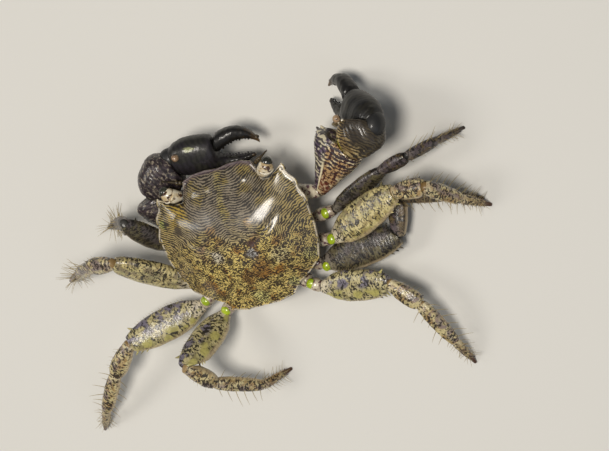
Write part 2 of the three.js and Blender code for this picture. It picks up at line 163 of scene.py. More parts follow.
CLAW_LENGTH = 19.8  # from the wrist to the fingertips
KNOB_RADIUS = 0.85
CLAW_PROFILES = {
    "base": [(0, 1.7, 1.6, 0), (0.4, 1.9, 1.8, 0), (0.8, 1.5, 1.5, 0), (1, 1.2, 1.2, 0)],
    "merus": [
        (0, 1.3, 1.2, 0), (0.12, 1.9, 1.5, 0.1), (0.45, 3.6, 2.4, 0.4), (0.78, 5.4, 3.0, 0.9),
        (0.92, 5.7, 3.0, 1.0), (1, 4.6, 2.6, 0.6),
    ],
    "carpus": [
        (0, 2.4, 2.2, -0.4), (0.14, 3.8, 3.1, -0.2), (0.4, 4.8, 3.6, 0), (0.7, 4.9, 3.6, 0.1),
        (0.9, 4.0, 3.1, 0), (1, 2.6, 2.3, 0),
    ],
    "palm": [
        (0, 2.4, 2.0, 0), (1.3, 3.4, 2.7, 0), (3.4, 4.1, 3.1, 0.1), (6.8, 4.4, 3.1, 0),
        (9.2, 4.2, 2.8, -0.15), (10.0, 3.6, 2.5, -0.7), (10.6, 2.0, 1.95, -2.3), (12.2, 1.45, 1.5, -2.7),
        (15.0, 1.05, 1.1, -2.6), (17.0, 0.65, 0.7, -2.2), (18.2, 0.3, 0.3, -1.7),
    ],
    "finger": [
        (10.2, 1.5, 1.7, 2.0), (10.8, 1.95, 2.0, 2.3), (12.2, 1.8, 1.9, 3.0), (14.8, 1.5, 1.6, 3.7),
        (17.2, 1.15, 1.2, 3.3), (19.0, 0.7, 0.7, 2.0), (CLAW_LENGTH, 0.3, 0.3, 0.9),
    ],
}

rng = np.random.default_rng(7)  # for the bristles and small spines


# ---- Directions and places ----


def unit(vector):
    vector = np.asarray(vector, float)
    return vector / np.linalg.norm(vector, axis=-1, keepdims=True)


def turned(vector, axis, degrees):
    matrix = Matrix.Rotation(math.radians(degrees), 3, Vector(axis))
    return np.array(matrix @ Vector(vector))


def heading(turn, rise):
    turn, rise = math.radians(turn), math.radians(rise)
    return np.array([math.cos(rise) * math.cos(turn), math.cos(rise) * math.sin(turn), math.sin(rise)])


def body_to_crab(points):
    """From the shell's own frame to the crab's standing frame: tipped up and lifted."""
    points = np.asarray(points, float)
    c, s = math.cos(math.radians(BODY_PITCH)), math.sin(math.radians(BODY_PITCH))
    x, y, z = points[..., 0], points[..., 1], points[..., 2]
    return np.stack([x, y * c - z * s, y * s + z * c + BODY_LIFT], -1)


def mirrored_rim(half):
    """The whole rim, once around, from its right half."""
    right = np.array([tuple(p) + (0,) * (3 - len(p)) for p in half], float)
    left = right[1:-1][::-1] * (-1, 1, 1)
    return np.concatenate([right, left])[::-1]


def centring():
    """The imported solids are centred, so the crab's frame is found from the shell's own box."""
    rim = mirrored_rim(SHELL_RIM)
    edge = np.concatenate([body_to_crab(rim), body_to_crab(rim - (0, 0, RIM_THICKNESS))])
    low, high = (np.array(corner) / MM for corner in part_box("carapace"))
    middle = (low + high) / 2 - (edge.min(0) + edge.max(0)) / 2
    return np.array([middle[0], middle[1], 0])


CENTRING = centring()


def to_scene(points, in_body_frame):
    points = body_to_crab(points) if in_body_frame else np.array(points, float)
    points[..., 2] = np.maximum(points[..., 2], 0)
    return (points + CENTRING) * MM


# ---- Making meshes ----

END_SHARES = (0.93, 0.75, 0.4)  # rings that round a limb piece's ends in
OFF_AXIS = (0.31, 0.77, 0.55)  # a direction that no thorn points in
TUFT_PATCH = 0.003  # width of one bristle's patch in the unwrap
GAP_GROWTH = 0.08  # how much more room a piece keeps from a joint's plane, for each mm away from it


def ring_faces(rings, sides):
    """Quads between rings of points, and a fan to a middle point at each end."""
    faces = []
    for ring in range(rings - 1):
        first = ring * sides
        for side in range(sides):
            near, far = first + side, first + (side + 1) % sides
            faces.append((near, far, far + sides, near + sides))
    start, last = rings * sides, (rings - 1) * sides
    for side in range(sides):
        following = (side + 1) % sides
        faces += [(start, following, side), (start + 1, last + side, last + following)]
    return faces


def capped(rings, ends=None):
    """Points of the rings and then the two end points, in the order that ring_faces wants."""
    if ends is None:
        ends = np.concatenate([rings[:1].mean(1), rings[-1:].mean(1)])
    return np.concatenate([rings.reshape(-1, 3), ends])


class Shape:
    """Points and faces gathered for one piece, with the marks that its finish reads."""

    def __init__(self):
        self.points, self.faces, self.spots, self.zones, self.roots = [], [], [], [], []
        self.count = 0

    def add(self, rings, spots=None, zones=(0, 0, 0), roots=None, ends=None):
        """One closed skin over rings of points. Spots and zones are given once or point by point."""
        points = capped(rings, ends)
        self.faces += [tuple(i + self.count for i in face) for face in ring_faces(*rings.shape[:2])]
        self.points.append(points)
        for kept, values in ((self.spots, points if spots is None else spots), (self.zones, zones)):
            kept.append(capped(values) if np.ndim(values) == 3 else np.broadcast_to(values, points.shape))
        if roots is not None:
            self.roots.append(roots)
        self.count += len(points)

    def piece(self, name, material, slot, in_body_frame=False, replaces=()):
        mesh = bpy.data.meshes.new(name)
        points = to_scene(np.concatenate(self.points), in_body_frame)
        mesh.from_pydata(points.tolist(), [], self.faces)
        for word, values in (("spot", self.spots), ("zone", self.zones)):
            mark = mesh.attributes.new(word, "FLOAT_VECTOR", "POINT")
            mark.data.foreach_set("vector", np.concatenate(values).astype(np.float32).ravel())
        if self.roots:
            corner = np.empty(len(mesh.loops), np.int32)
            mesh.loops.foreach_get("vertex_index", corner)
            unwrap = mesh.uv_layers.new(name="OFBake")
            unwrap.data.foreach_set("uv", np.concatenate(self.roots)[corner].astype(np.float32).ravel())
        mesh.polygons.foreach_set("use_smooth", [True] * len(mesh.polygons))
        mesh.materials.append(material)
        mesh.update()
        piece = bpy.data.objects.new(name, mesh)
        bpy.context.scene.collection.objects.link(piece)
        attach(piece, "root")
        if replaces:
            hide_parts(*replaces)


def eased(rows, places):
    """Profile rows joined by smooth curves instead of straight flanks."""
    rows = np.asarray(rows, float)
    x, y = rows[:, 0], rows[:, 1:]
    step, rise = np.diff(x)[:, None], np.diff(y, axis=0)
    grade = rise / step
    slopes = np.zeros_like(y)
    same = grade[1:] * grade[:-1] > 0
    slopes[1:-1] = np.where(same, 2 * grade[1:] * grade[:-1] / (grade[1:] + grade[:-1] + 1e-12), 0)
    slopes[0], slopes[-1] = grade[0], grade[-1]
    at = np.clip(np.searchsorted(x, places) - 1, 0, len(x) - 2)
    width = step[at]
    t = ((places - x[at])[:, None]) / width
    a = (1 + 2 * t) * (1 - t) ** 2 * y[at] + t * t * (3 - 2 * t) * y[at + 1]
    return a + width * (t * (1 - t) ** 2 * slopes[at] - t * t * (1 - t) * slopes[at + 1])


def press_behind(points, along, at, normal, least):
    """Slides points along a limb until they are at least this far ahead of a joint's plane."""
    short = np.maximum(least - (points - at) @ normal, 0)
    return points + along * (short / (along @ normal))[..., None]


def drawn_in(rings):
    """Rings with a few smaller ones at both ends, which round the ends in."""
    first, last = rings[:1], rings[-1:]
    near = [first.mean(1, keepdims=True) * (1 - s) + first * s for s in END_SHARES[::-1]]
    far = [last.mean(1, keepdims=True) * (1 - s) + last * s for s in END_SHARES]
    return np.concatenate(near + [rings] + far)


def around_circle(sides):
    """Evenly spaced angles, once around."""
    return 2 * np.pi * np.arange(sides) / sides


def waves(x, y, seed=0.0):
    """Smooth wandering values between about -1 and 1, one unit to a hump."""
    total = 0.0
    for k, (a, b) in enumerate(((1.0, 0.6), (-0.7, 1.1), (0.4, -0.9), (1.3, 0.2))):
        total = total + np.sin(2.4 * (a * x + b * y) + 1.7 * k + seed * (1.3 + k))
    return total / 4


def limb(shape, start, end, across, profile, planes=(None, None), sides=40, steps=70, power=2.4, relief=None,
         offset=(0, 0, 0), tone=None):
    """A limb piece with rounded flanks. Returns a function that gives places on its surface."""
    start, end, across = (np.asarray(value, float) for value in (start, end, across))
    length = np.linalg.norm(end - start)
    along = (end - start) / length
    wide = unit(across - along * (across @ along))
    thick = np.cross(along, wide)
    rows = np.asarray([tuple(row) + (0,) * (4 - len(row)) for row in profile], float)

    def surface(share, angle, proud=0.0):
        """Points at these shares of the length and angles about it, with their spots and zones."""
        share, angle = np.broadcast_arrays(np.asarray(share, float), np.asarray(angle, float))
        half = eased(rows, share.ravel()).reshape(share.shape + (3,))
        half_wide, half_thick, shift = half[..., 0], half[..., 1], half[..., 2]
        u, v = (np.sign(side) * np.abs(side) ** (2 / power) for side in (np.cos(angle), np.sin(angle)))
        out_u, out_v = u / half_wide, v / half_thick
        size = np.sqrt(out_u**2 + out_v**2)
        around = angle * (half_wide + half_thick) / 2
        raised = proud + (relief(share, angle, around, share * length) if relief else 0.0)
        across_mm = shift + u * half_wide + out_u / size * raised
        up_mm = v * half_thick + out_v / size * raised
        points = start + (share * length)[..., None] * along + across_mm[..., None] * wide
        points = points + up_mm[..., None] * thick
        for plane, side, spare in ((planes[0], 1, share), (planes[1], -1, 1 - share)):
            if plane is not None:
                least = JOINT_GAP / 2 + spare * length * GAP_GROWTH
                points = press_behind(points, along, plane[0], side * plane[1], least)
        return points, np.stack([share * length, across_mm, up_mm], -1), np.stack([share, u, v], -1)

    low, high = rows[0, 0], rows[-1, 0]
    shares = low + (high - low) * (0.5 - 0.5 * np.cos(np.pi * np.linspace(0, 1, steps))) ** 0.9
    points, spots, zones = (drawn_in(rings) for rings in surface(shares[:, None], around_circle(sides)))
    shape.add(points, spots + np.asarray(offset, float), zones if tone is None else tone)
    surface.axes, surface.along, surface.thick = (along, wide, thick), along, thick
    return surface


def on(surface, share, angle, proud=0.0):
    """One point on a limb, or standing proud of it."""
    return surface([share], [angle], proud)[0][0]


def out_of(surface, share, angle):
    """The way straight out of a limb at one point."""
    return unit(on(surface, share, angle, 1.0) - on(surface, share, angle))


def tube(shape, middles, girths, first, second, sides, **marks):
    """A round skin about a row of middle points, whose circles lie along two axes."""
    turn = around_circle(sides)[:, None]
    circles = np.cos(turn) * first[..., None, :] + np.sin(turn) * second[..., None, :]
    shape.add(middles[:, None] + girths[:, None, None] * circles, **marks)


def thorn(shape, root, direction, length, radius, bend=0.0, sides=12, steps=6, blunt=0.06, unwrap=None,
          spots=(0, 0, 0), zones=(0, 0, 0)):
    """A spine, tooth or bristle: a round spike that tapers and may bend over its length."""
    direction = unit(direction)
    side = unit(np.cross(direction, OFF_AXIS))
    share = np.linspace(0, 1, steps)
    middles = root + share[:, None] * length * direction + (share**2)[:, None] * bend
    girths = radius * (blunt + (1 - blunt) * (1 - share) ** 0.8)
    roots = None
    if unwrap is not None:
        shares = np.concatenate([np.repeat(share, sides), [0, 1]])
        swing = np.concatenate([np.tile(around_circle(sides), steps), [0, 0]])
        patch = TUFT_PATCH / 2 * np.stack([shares * np.cos(swing), shares * np.sin(swing)], -1)
        roots = np.clip(unwrap + patch, 0, 1)
    other = np.cross(direction, side)
    tube(shape, middles, girths, side, other, sides, spots=spots, zones=zones, roots=roots)


def bead(shape, centre, axes, radii, sides=20, steps=12, spots=None):
    """An egg-shaped swelling with its own three axes and radii."""
    centre = np.asarray(centre, float)
    axes = [radius * unit(axis) for radius, axis in zip(radii, axes)]
    tilt = (np.pi * (np.arange(1, steps) / steps))[:, None]
    turn = around_circle(sides)
    ways = (-np.cos(tilt) * np.ones(sides), np.sin(tilt) * np.cos(turn), np.sin(tilt) * np.sin(turn))
    rings = centre + sum(way[..., None] * axis for way, axis in zip(ways, axes))
    shape.add(rings, spots, ends=np.array([centre - axes[0], centre + axes[0]]))


# ---- Finishes ----

SCATTER_MM = (0.6, 0.45, 0.25)  # how far red, green and blue light travel inside soft skin
BLOTCH_STRENGTH = 0.85


def linear(code):
    """An sRGB hex colour as the linear values that shaders take."""
    parts = [int(code[k:k + 2], 16) / 255 for k in (1, 3, 5)]
    return tuple(p / 12.92 if p <= 0.04045 else ((p + 0.055) / 1.055) ** 2.4 for p in parts) + (1.0,)


def add_node(tree, kind, *values, take=0, **named):
    """Adds one node and gives one of its outputs. A second word in its kind is its operation, or how
    a MapRange eases. The values fill its inputs in order, a name with a capital letter fills the input
    of that name, and the other names are its settings. A value may be a number, a colour code or
    another node's output."""
    kind, _, manner = kind.partition(" ")
    node = tree.nodes.new("ShaderNode" + kind)
    if manner:
        setattr(node, "interpolation_type" if kind == "MapRange" else "operation", manner)
    inputs = dict(enumerate(values))
    for name, value in named.items():
        if name[0].isupper():
            inputs[name] = value
        else:
            setattr(node, name, value)
    for key, value in inputs.items():
        if isinstance(value, bpy.types.NodeSocket):
            tree.links.new(value, node.inputs[key])
        else:
            node.inputs[key].default_value = linear(value) if isinstance(value, str) else value
    return node.outputs[take]


def warped(add, place, size_mm, reach_mm, seed=0.0):
    """The same places, pushed about by up to the reach so that lines over them wander."""
    moved = add("VectorMath ADD", place, (seed, seed * 0.7, seed * 1.3))
    push = add("TexNoise", Vector=moved, Scale=1 / size_mm, Detail=2.0, take="Color")
    centred = add("VectorMath SUBTRACT", push, (0.5, 0.5, 0.5))
    scaled = add("VectorMath MULTIPLY", centred, (2 * reach_mm,) * 3)
    return add("VectorMath ADD", place, scaled)


def lines(add, across, spacing_mm):
    """0 to 1 and back for each line, from a length measured across the lines."""
    wave = add("Math SINE", add("Math MULTIPLY", across, 2 * math.pi / spacing_mm))
    return add("Math MULTIPLY_ADD", wave, 0.5, 0.5)


def frayed(add, pattern, place, grain_mm, reach):
    """The pattern with its edges eaten into by grain of this size."""
    grain = add("TexNoise", Vector=place, Scale=1 / grain_mm, Detail=2.0, Roughness=0.6)
    return add("Math MULTIPLY_ADD", add("Math SUBTRACT", grain, 0.5), reach, pattern)


def patches(add, place, size_mm, share, soft=0.06, seed=0.0):
    """1 in ragged patches of about this size and 0 between them. A higher share leaves fewer patches."""
    ragged = warped(add, place, size_mm * 0.5, size_mm * 0.18, seed)
    cloud = add("TexNoise", Vector=ragged, Scale=1 / size_mm, Detail=3.0, Roughness=0.55)
    return add("MapRange SMOOTHSTEP", cloud, share - soft / 2, share + soft / 2)


def near_spot(add, place, centre, size_mm, ragged_mm, seed):
    """1 at a blotch's middle and 0 outside it, with a ragged edge."""
    pushed = warped(add, place, ragged_mm * 1.6, ragged_mm, seed)
    away = add("VectorMath DISTANCE", pushed, centre, take="Value")
    return add("MapRange SMOOTHSTEP", away, size_mm * 1.25, size_mm * 0.6)


def tinted(add, colour, tint, share, strength):
    """The colour with a tint laid over it, as far as the share and the strength together say."""
    return add("MixRGB", add("Math MULTIPLY", share, strength), colour, tint)


def blotched(add, colour, place, blotches, ragged_mm, seed_step, first_seed=0):
    """The colour with a list of blotches over it, each given by its middle, size and tint."""
    for number, (centre, size, tint) in enumerate(blotches):
        share = near_spot(add, place, centre + (0,), size, ragged_mm, number * seed_step + first_seed)
        colour = tinted(add, colour, tint, share, BLOTCH_STRENGTH)
    return colour


def cover(add, shader, colour, place, grain_mm, depth_mm, detail=3.0, pattern=None, film=False,
          roughness=None):
    """Gives the shader its colour, and fine grain that is too small for the mesh. The grain may lie
    over relief of the pattern itself, and the film of water on top may follow it too."""
    link, below = shader.id_data.links.new, {}
    link(colour, shader.inputs["Base Color"])
    if roughness is not None:
        link(roughness, shader.inputs["Roughness"])
    if pattern:
        height, pattern_mm = pattern
        below["Normal"] = add("Bump", Strength=1.0, Distance=pattern_mm * MM, Height=height)
    grain = add("TexNoise", Vector=place, Scale=1 / grain_mm, Detail=detail)
    bump = add("Bump", Strength=1.0, Distance=depth_mm * MM, Height=grain, **below)
    for name in ("Normal", "Coat Normal") if film else ("Normal",):
        link(bump, shader.inputs[name])


def finish(name, roughness, ior=1.5, coat=0.0, coat_roughness=0.12, scatter=0.0):
    """A new material with one surface shader, whose fixed values are set on it directly, and the
    function that adds nodes to it."""
    material = bpy.data.materials.new(name)
    material.use_nodes = True
    tree = material.node_tree
    shader = tree.nodes["Principled BSDF"]
    fixed = {"Roughness": roughness, "IOR": ior, "Coat Weight": coat, "Coat Roughness": coat_roughness}
    if scatter:
        fixed["Subsurface Weight"], fixed["Subsurface Scale"] = scatter, 1.0
        fixed["Subsurface Radius"] = [reach * MM for reach in SCATTER_MM]
    for socket, value in fixed.items():
        shader.inputs[socket].default_value = value
    return material, functools.partial(add_node, tree), shader


def marks(add, word, axes=""):
    """The places or zones that a piece's points carry, whole and then along each of these axes."""
    whole = add("Attribute", take="Vector", attribute_name=word)
    return [whole] + [add("SeparateXYZ", whole, take=axis) for axis in axes]


SHELL_LINE_MM = 0.49  # from one dark line to the next
FLANK_CENTRE = (23.9, -11.9, 0.0)  # the lines on the shell's flanks are arcs about this place
FLANK_START = 18.3  # radius of the arc that meets the lines of the middle
WORN_CORNER = (15.4, 10.0, 0.0)  # where the rim is worn pale, beside the right eye
SHELL_TINTS = [  # middle, size and colour of the clouds in the ground between the lines
    ((-11.0, 8.8), 2.7, "#a88c30"), ((-4.0, 4.0), 1.2, "#927244"), ((4.8, 3.7), 0.9, "#a88a5c"),
    # The bluish-grey cloud at (3.2, -3.1) is a pale mark of the shell's own, with a painted hazy highlight
    # in it.
    ((3.2, -3.1), 1.2, "#a3a6ad"), ((-4.5, -2.0), 1.5, "#bdb6a2"), ((3.9, -6.7), 2.3, "#946a2c"),
    ((0.4, -8.0), 1.8, "#8c642b"), ((0.7, -13.0), 1.9, "#d2cc80"), ((8.2, -12.1), 1.3, "#c3be76"),
    ((8.6, -4.9), 2.0, "#cbbf8c"), ((14.0, -7.0), 1.6, "#b8af68"), ((-15.2, 7.6), 1.1, "#9aa05c"),
]
SHELL_SHADES = [  # middle, size and colour of the smooth marks over the lines
    ((3.6, -0.9), 0.9, "#3d2426"), ((-2.1, -3.5), 0.9, "#241a14"), ((-11.7, 5.5), 1.2, "#3a3024"),
    ((1.8, -2.8), 0.6, "#2c1d17"), ((-5.9, -2.8), 0.6, "#2c1d17"), ((0.8, -4.6), 0.6, "#241c18"),
    ((15.2, 10.6), 1.0, "#9c9a86"),
]


def striped_shell():
    """Calcified crab shell, wet from the sea. The film of water gives sharp white highlights over a
    duller, finely lined surface. Dark wavy lines break up into a maze towards the rear."""
    material, add, shader = finish("wet_striped_shell", 0.5, ior=1.4, coat=1.0, coat_roughness=0.2)
    place, sideways, forward = marks(add, "spot", "XY")
    aside = add("Math ABSOLUTE", sideways)
    flat = add("CombineXYZ", sideways, forward)
    broad = add("TexNoise", Vector=flat, Scale=1 / 5.0, Detail=2.0)
    fine = add("TexNoise", Vector=flat, Scale=1 / 1.15, Detail=3.0)
    depth = add("Math MULTIPLY_ADD", broad, 8.0, add("Math MULTIPLY", forward, -1.0))
    rear = add("MapRange SMOOTHSTEP", depth, -1.0, 8.5)
    # The lines drop away from the midline, and turn forward again on the flanks.
    middle = add("Math MULTIPLY_ADD", aside, 0.2, forward)
    half = add("CombineXYZ", aside, forward)
    arc = add("VectorMath DISTANCE", half, FLANK_CENTRE, take="Value")
    across = add("Math SMOOTH_MIN", middle, add("Math SUBTRACT", arc, FLANK_START), 2.0)
    across = add("Math MULTIPLY_ADD", broad, 1.6, across)
    wander = add("Math MULTIPLY_ADD", rear, 1.8, 0.75)
    line = lines(add, add("Math MULTIPLY_ADD", fine, wander, across), SHELL_LINE_MM)
    broken = frayed(add, line, flat, 0.42, add("Math MULTIPLY_ADD", rear, 1.6, 1.3))
    blots = add("TexNoise", Vector=flat, Scale=1 / 1.7, Detail=2.0)
    heavy = add("Math MULTIPLY_ADD", add("Math SUBTRACT", blots, 0.5), 2.0, broken)
    heavy = add("Math MULTIPLY_ADD", rear, 0.1, heavy)
    dark = add("MapRange SMOOTHSTEP", heavy, 0.32, 0.54)
    # Between the lines the ground is mauve-grey ahead, ochre on the flanks and rust-brown behind.
    front_ground = add("MixRGB", patches(add, flat, 4.5, 0.55, 0.16, 3.0), "#877c69", "#948248")
    rear_ground = add("MixRGB", patches(add, flat, 3.2, 0.56, 0.12, 5.0), "#d8c170", "#a3762e")
    ground = add("MixRGB", rear, front_ground, rear_ground)
    ground = tinted(add, ground, "#b09b5c", add("MapRange SMOOTHSTEP", aside, 7.0, 14.0), 0.7)
    ragged_aside = add("Math MULTIPLY_ADD", add("Math SUBTRACT", fine, 0.5), 1.4, aside)
    midline = add("MapRange SMOOTHSTEP", ragged_aside, 1.1, 0.3)
    ahead = add("MapRange SMOOTHSTEP", forward, 3.0, 7.0)
    ground = tinted(add, ground, "#a89a50", add("Math MULTIPLY", midline, ahead), 0.45)
    ground = blotched(add, ground, flat, SHELL_TINTS, 0.8, 2.1)
    colour = tinted(add, ground, add("MixRGB", rear, "#231d19", "#241606"), dark, 0.96)
    colour = blotched(add, colour, flat, SHELL_SHADES, 0.6, 3.3, 1)
    # The shell's edge is worn pale, most of all beside the right eye. Over the face it is purple and dark:
    # the purple is its own, the darkness painted shade.
    _, out, below = marks(add, "zone", "XY")
    rim = add("MapRange SMOOTHSTEP", out, 0.98, 0.991)
    corner = near_spot(add, flat, WORN_CORNER, 5.2, 0.6, 2.0)
    chips = add("Math MULTIPLY", patches(add, flat, 1.6, 0.48), 0.5)
    colour = tinted(add, colour, "#e3dac7", rim, add("Math MULTIPLY_ADD", corner, 0.95, chips))
    edge, centre = add("MapRange", out, 0.95, 0.985), add("MapRange", aside, 9.0, 7.6)
    shaded_brow = add("Math MULTIPLY", edge, centre)
    shaded_brow = add("Math MULTIPLY", shaded_brow, add("MapRange", forward, 10.0, 12.0))
    # The front edge's band: its own purple, darkened by painted shade.
    colour = tinted(add, colour, "#4a3743", shaded_brow, 0.8)
    colour = add("MixRGB", add("MapRange", below, 0.35, 0.65), colour, "#ab9c7a")
    grooves = add("Math SUBTRACT", 1.0, line)
    cover(add, shader, colour, place, 0.25, 0.008, 2.0, pattern=(grooves, 0.006),
          roughness=add("Math MULTIPLY_ADD", fine, 0.3, 0.45))
    return material


def marbled_leg(name, ground, second, ink, wash, violet_share, blots, discs, root_share=0.85, coat=0.7,
                tip=None):
    """Crab leg shell, wet: olive-cream under broken dark bars, flecks and brown washes, with slate-violet
    clouds on top, a pale root and a pale rear edge. The water film breaks into small glints."""
    material, add, shader = finish(name, 0.5, ior=1.45, coat=coat)
    place, = marks(add, "spot")
    _, along, facing = marks(add, "zone", "XY")
    upper = add("MapRange SMOOTHSTEP", facing, -0.35, 0.25)
    # Wandering bars lie across the leg and break up into blots.
    pushed = warped(add, warped(add, place, 3.2, 2.6, 2.0), 1.1, 1.1, 8.0)
    bars = lines(add, add("SeparateXYZ", pushed, take="X"), 1.15)
    broken = frayed(add, frayed(add, bars, place, 2.0, 3.0), place, 0.5, 2.2)
    bar = add("MapRange SMOOTHSTEP", broken, 0.78 - blots, 1.0 - blots)
    # Short flecks lie between them.
    cross = add("VectorMath MULTIPLY", warped(add, place, 1.0, 0.3, 6.0), (1.7, 0.9, 0.9))
    flecks = add("TexNoise", Vector=cross, Scale=1 / 0.6, Detail=3.0, Roughness=0.6)
    fleck = add("MapRange SMOOTHSTEP", flecks, 0.575 - 0.1 * blots, 0.64 - 0.1 * blots)
    dark = add("Math MAXIMUM", fleck, bar)
    colour = add("MixRGB", patches(add, place, 2.4, 0.5, 0.14, 1.0), ground, second)
    colour = tinted(add, colour, wash, patches(add, place, 1.2, 0.52, 0.12, 7.0), 0.5)
    cloud = add("Math MULTIPLY", patches(add, place, 2.4, 0.5, 0.1, 9.0), upper)
    colour = tinted(add, colour, "#6d6780", cloud, violet_share)
    root = add("MapRange", frayed(add, along, place, 0.9, 0.25), 0.2, 0.1)
    colour = tinted(add, colour, "#d8cdb4", root, root_share)
    # Clear yellow-green discs lie in a row along the rear half of the hind legs.
    ragged = warped(add, place, 1.0, 0.35, 4.0)
    apart = add("TexVoronoi", Vector=ragged, Scale=1 / 2.5, Randomness=0.8)
    disc = add("MapRange SMOOTHSTEP", apart, 0.48, 0.4)
    behind, ahead = add("MapRange", facing, -0.98, -0.8), add("MapRange", facing, 0.0, -0.35)
    disc = add("Math MULTIPLY", disc, add("Math MULTIPLY", behind, ahead))
    disc = add("Math MULTIPLY", disc, discs)
    colour = add("MixRGB", disc, colour, "#b3ab62")
    colour = tinted(add, colour, ink, dark, add("Math MULTIPLY_ADD", disc, -0.8, 0.95))
    colour = tinted(add, colour, "#cbb48a", add("MapRange", facing, -0.8, -0.97), 0.6)
    if tip:
        worn_tip = frayed(add, along, place, 0.7, 0.3)
        colour = add("MixRGB", add("MapRange SMOOTHSTEP", worn_tip, 0.62, 0.84), colour, tip)
    cover(add, shader, colour, place, 0.3, 0.05, 2.0, pattern=(flecks, 0.05), film=True,
          roughness=add("Math MULTIPLY_ADD", flecks, 0.35, 0.3))
    return material


def speckled(name, ground, second, specks, roughness, size_mm=0.5, share=0.56, scatter=0.0, coat=0.3):
    """Plain shell, skin or horn with clouds of a second colour and small dark specks."""
    material, add, shader = finish(name, roughness, coat=coat, scatter=scatter)
    place, = marks(add, "spot")
    colour = add("MixRGB", patches(add, place, 2.2, 0.51, 0.18), ground, second)
    colour = add("MixRGB", patches(add, place, size_mm, share, 0.06, 3.0), colour, specks)
    cover(add, shader, colour, place, 0.3, 0.03)
    return material


def slanting(add, place, slant):
    """Lengths across bands that slant over a claw, and the wandering places they are read from."""
    pushed = warped(add, place, 2.0, 0.9, 5.0)
    sideways, up = (add("SeparateXYZ", pushed, take=axis) for axis in "XY")
    return pushed, add("Math MULTIPLY_ADD", up, slant, sideways)


def banded_claw(name, ground, second, ink, slant, spacing_mm, strength, cloud_mm=3.0, coat=0.3,
                specks=None, far=None, near=None, spot=None):
    """Claw shell, smooth and wet: slanting wavy dark bands that break up over two ground colours."""
    material, add, shader = finish(name, 0.48, ior=1.4, coat=coat)
    place, = marks(add, "spot")
    _, along = marks(add, "zone", "X")
    pushed, across = slanting(add, place, slant)
    across = add("Math MULTIPLY_ADD", add("SeparateXYZ", pushed, take="Z"), -slant, across)
    band = lines(add, across, spacing_mm)
    broken = frayed(add, frayed(add, band, place, 2.6, 1.6), place, 0.6, 1.2)
    dark = add("MapRange SMOOTHSTEP", broken, 0.5, 0.72)
    colour = add("MixRGB", patches(add, place, cloud_mm, 0.5, 0.12), ground, second)
    if specks:
        colour = add("MixRGB", patches(add, place, 0.6, 0.56, 0.06, 2.0), colour, specks)
    colour = tinted(add, colour, ink, dark, strength)
    if far:
        tint, start, end = far
        ragged = frayed(add, along, place, 1.1, 2.5 * (end - start))
        colour = tinted(add, colour, tint, add("MapRange", ragged, start, end), 0.9)
    if near:
        ragged = frayed(add, along, place, 0.9, 0.1)
        colour = add("MixRGB", add("MapRange", ragged, 0.1, 0.05), colour, near)
    if spot:
        centre, tint = spot
        long = add("VectorMath MULTIPLY", place, (0.6, 1.5, 1.0))
        colour = add("MixRGB", near_spot(add, long, centre, 0.75, 0.4, 1.0), colour, tint)
    cover(add, shader, colour, place, 0.35, 0.03, film=True)
    return material


def claw_merus_shell():
    """The arm of the outstretched claw, wet shell in two tones: cream-orange with red-brown specks
    towards its root, cream with violet stripes on its inner face, and a pale ridge between them."""
    material, add, shader = finish("two_tone_claw_arm_shell", 0.42, coat=0.8, coat_roughness=0.1)
    place, = marks(add, "spot")
    _, length, facing = marks(add, "zone", "XY")
    along = frayed(add, length, place, 1.4, 0.3)
    inner = add("MapRange", frayed(add, facing, place, 1.2, 0.2), 0.12, 0.22)
    outer_colour = add("MixRGB", patches(add, place, 2.6, 0.5, 0.14), "#ad8c5f", "#d8c8a2")
    specks = patches(add, place, 0.62, 0.51, 0.06, 2.0)
    outer_colour = add("MixRGB", specks, outer_colour, "#3a160e")
    red = add("Math MULTIPLY", add("MapRange", along, 0.5, 0.2),
              patches(add, place, 2.2, 0.47, 0.1, 4.0))
    outer_colour = tinted(add, outer_colour, "#6a2817", red, 0.7)
    _, across = slanting(add, place, 0.12)
    stripe = frayed(add, frayed(add, lines(add, across, 1.0), place, 2.6, 1.8), place, 0.5, 1.7)
    stripe = add("MapRange SMOOTHSTEP", stripe, 0.42, 0.62)
    outer_colour = tinted(add, outer_colour, "#2e1f24", stripe, add("MapRange", along, 0.42, 0.62))
    inner_colour = add("MixRGB", patches(add, place, 2.0, 0.52, 0.1, 6.0), "#c9c0a4", "#5b4a5e")
    inner_colour = tinted(add, inner_colour, "#231a24", stripe, 0.92)
    colour = add("MixRGB", inner, outer_colour, inner_colour)
    apart = add("Math ABSOLUTE", add("Math SUBTRACT", facing, 0.16))
    ridge = add("MapRange", apart, 0.1, 0.03)
    colour = tinted(add, colour, "#ddd2ae", ridge, add("MapRange", along, 0.7, 0.45))
    cover(add, shader, colour, place, 0.35, 0.02)
    return material


SHELL = striped_shell()
# Wet leg shell, olive-cream with dark blots, on the second pair. The other legs' upper pieces are
# greyer, with slate-violet clouds and yellow-green discs.
LEG = marbled_leg("marbled_leg_shell", "#cdbf88", "#aba266", "#1c140c", "#80663a", 0.25, 0.04, 0.0)
REAR_LEG = marbled_leg(
    "marbled_rear_leg_shell", "#bdb283", "#9c9562", "#1a140e", "#776a48", 0.85, 0.1, 0.9)
# The same shell with painted shade, for the legs that lie in shadow: darker, and with a duller film.
SHADE_PAINTED_LEG = marbled_leg(
    "shade_painted_marbled_leg_shell", "#625b41", "#474130", "#15100c", "#493b26", 0.2, 0.14, 0.0, 0.2, 0.35)
# The legs' outer pieces are browner and more closely blotted.
LEG_END = marbled_leg(
    "marbled_leg_end_shell", "#cbbd8d", "#ab9c6c", "#241810", "#8f6232", 0.5, 0.18, 0.0, 0.3)
# Its outer pieces, darkened the same way with painted shade.
SHADE_PAINTED_LEG_END = marbled_leg(
    "shade_painted_marbled_leg_end_shell", "#695a3e", "#4d4230", "#17120d", "#523820", 0.3, 0.2, 0.0, 0.1, 0.35)
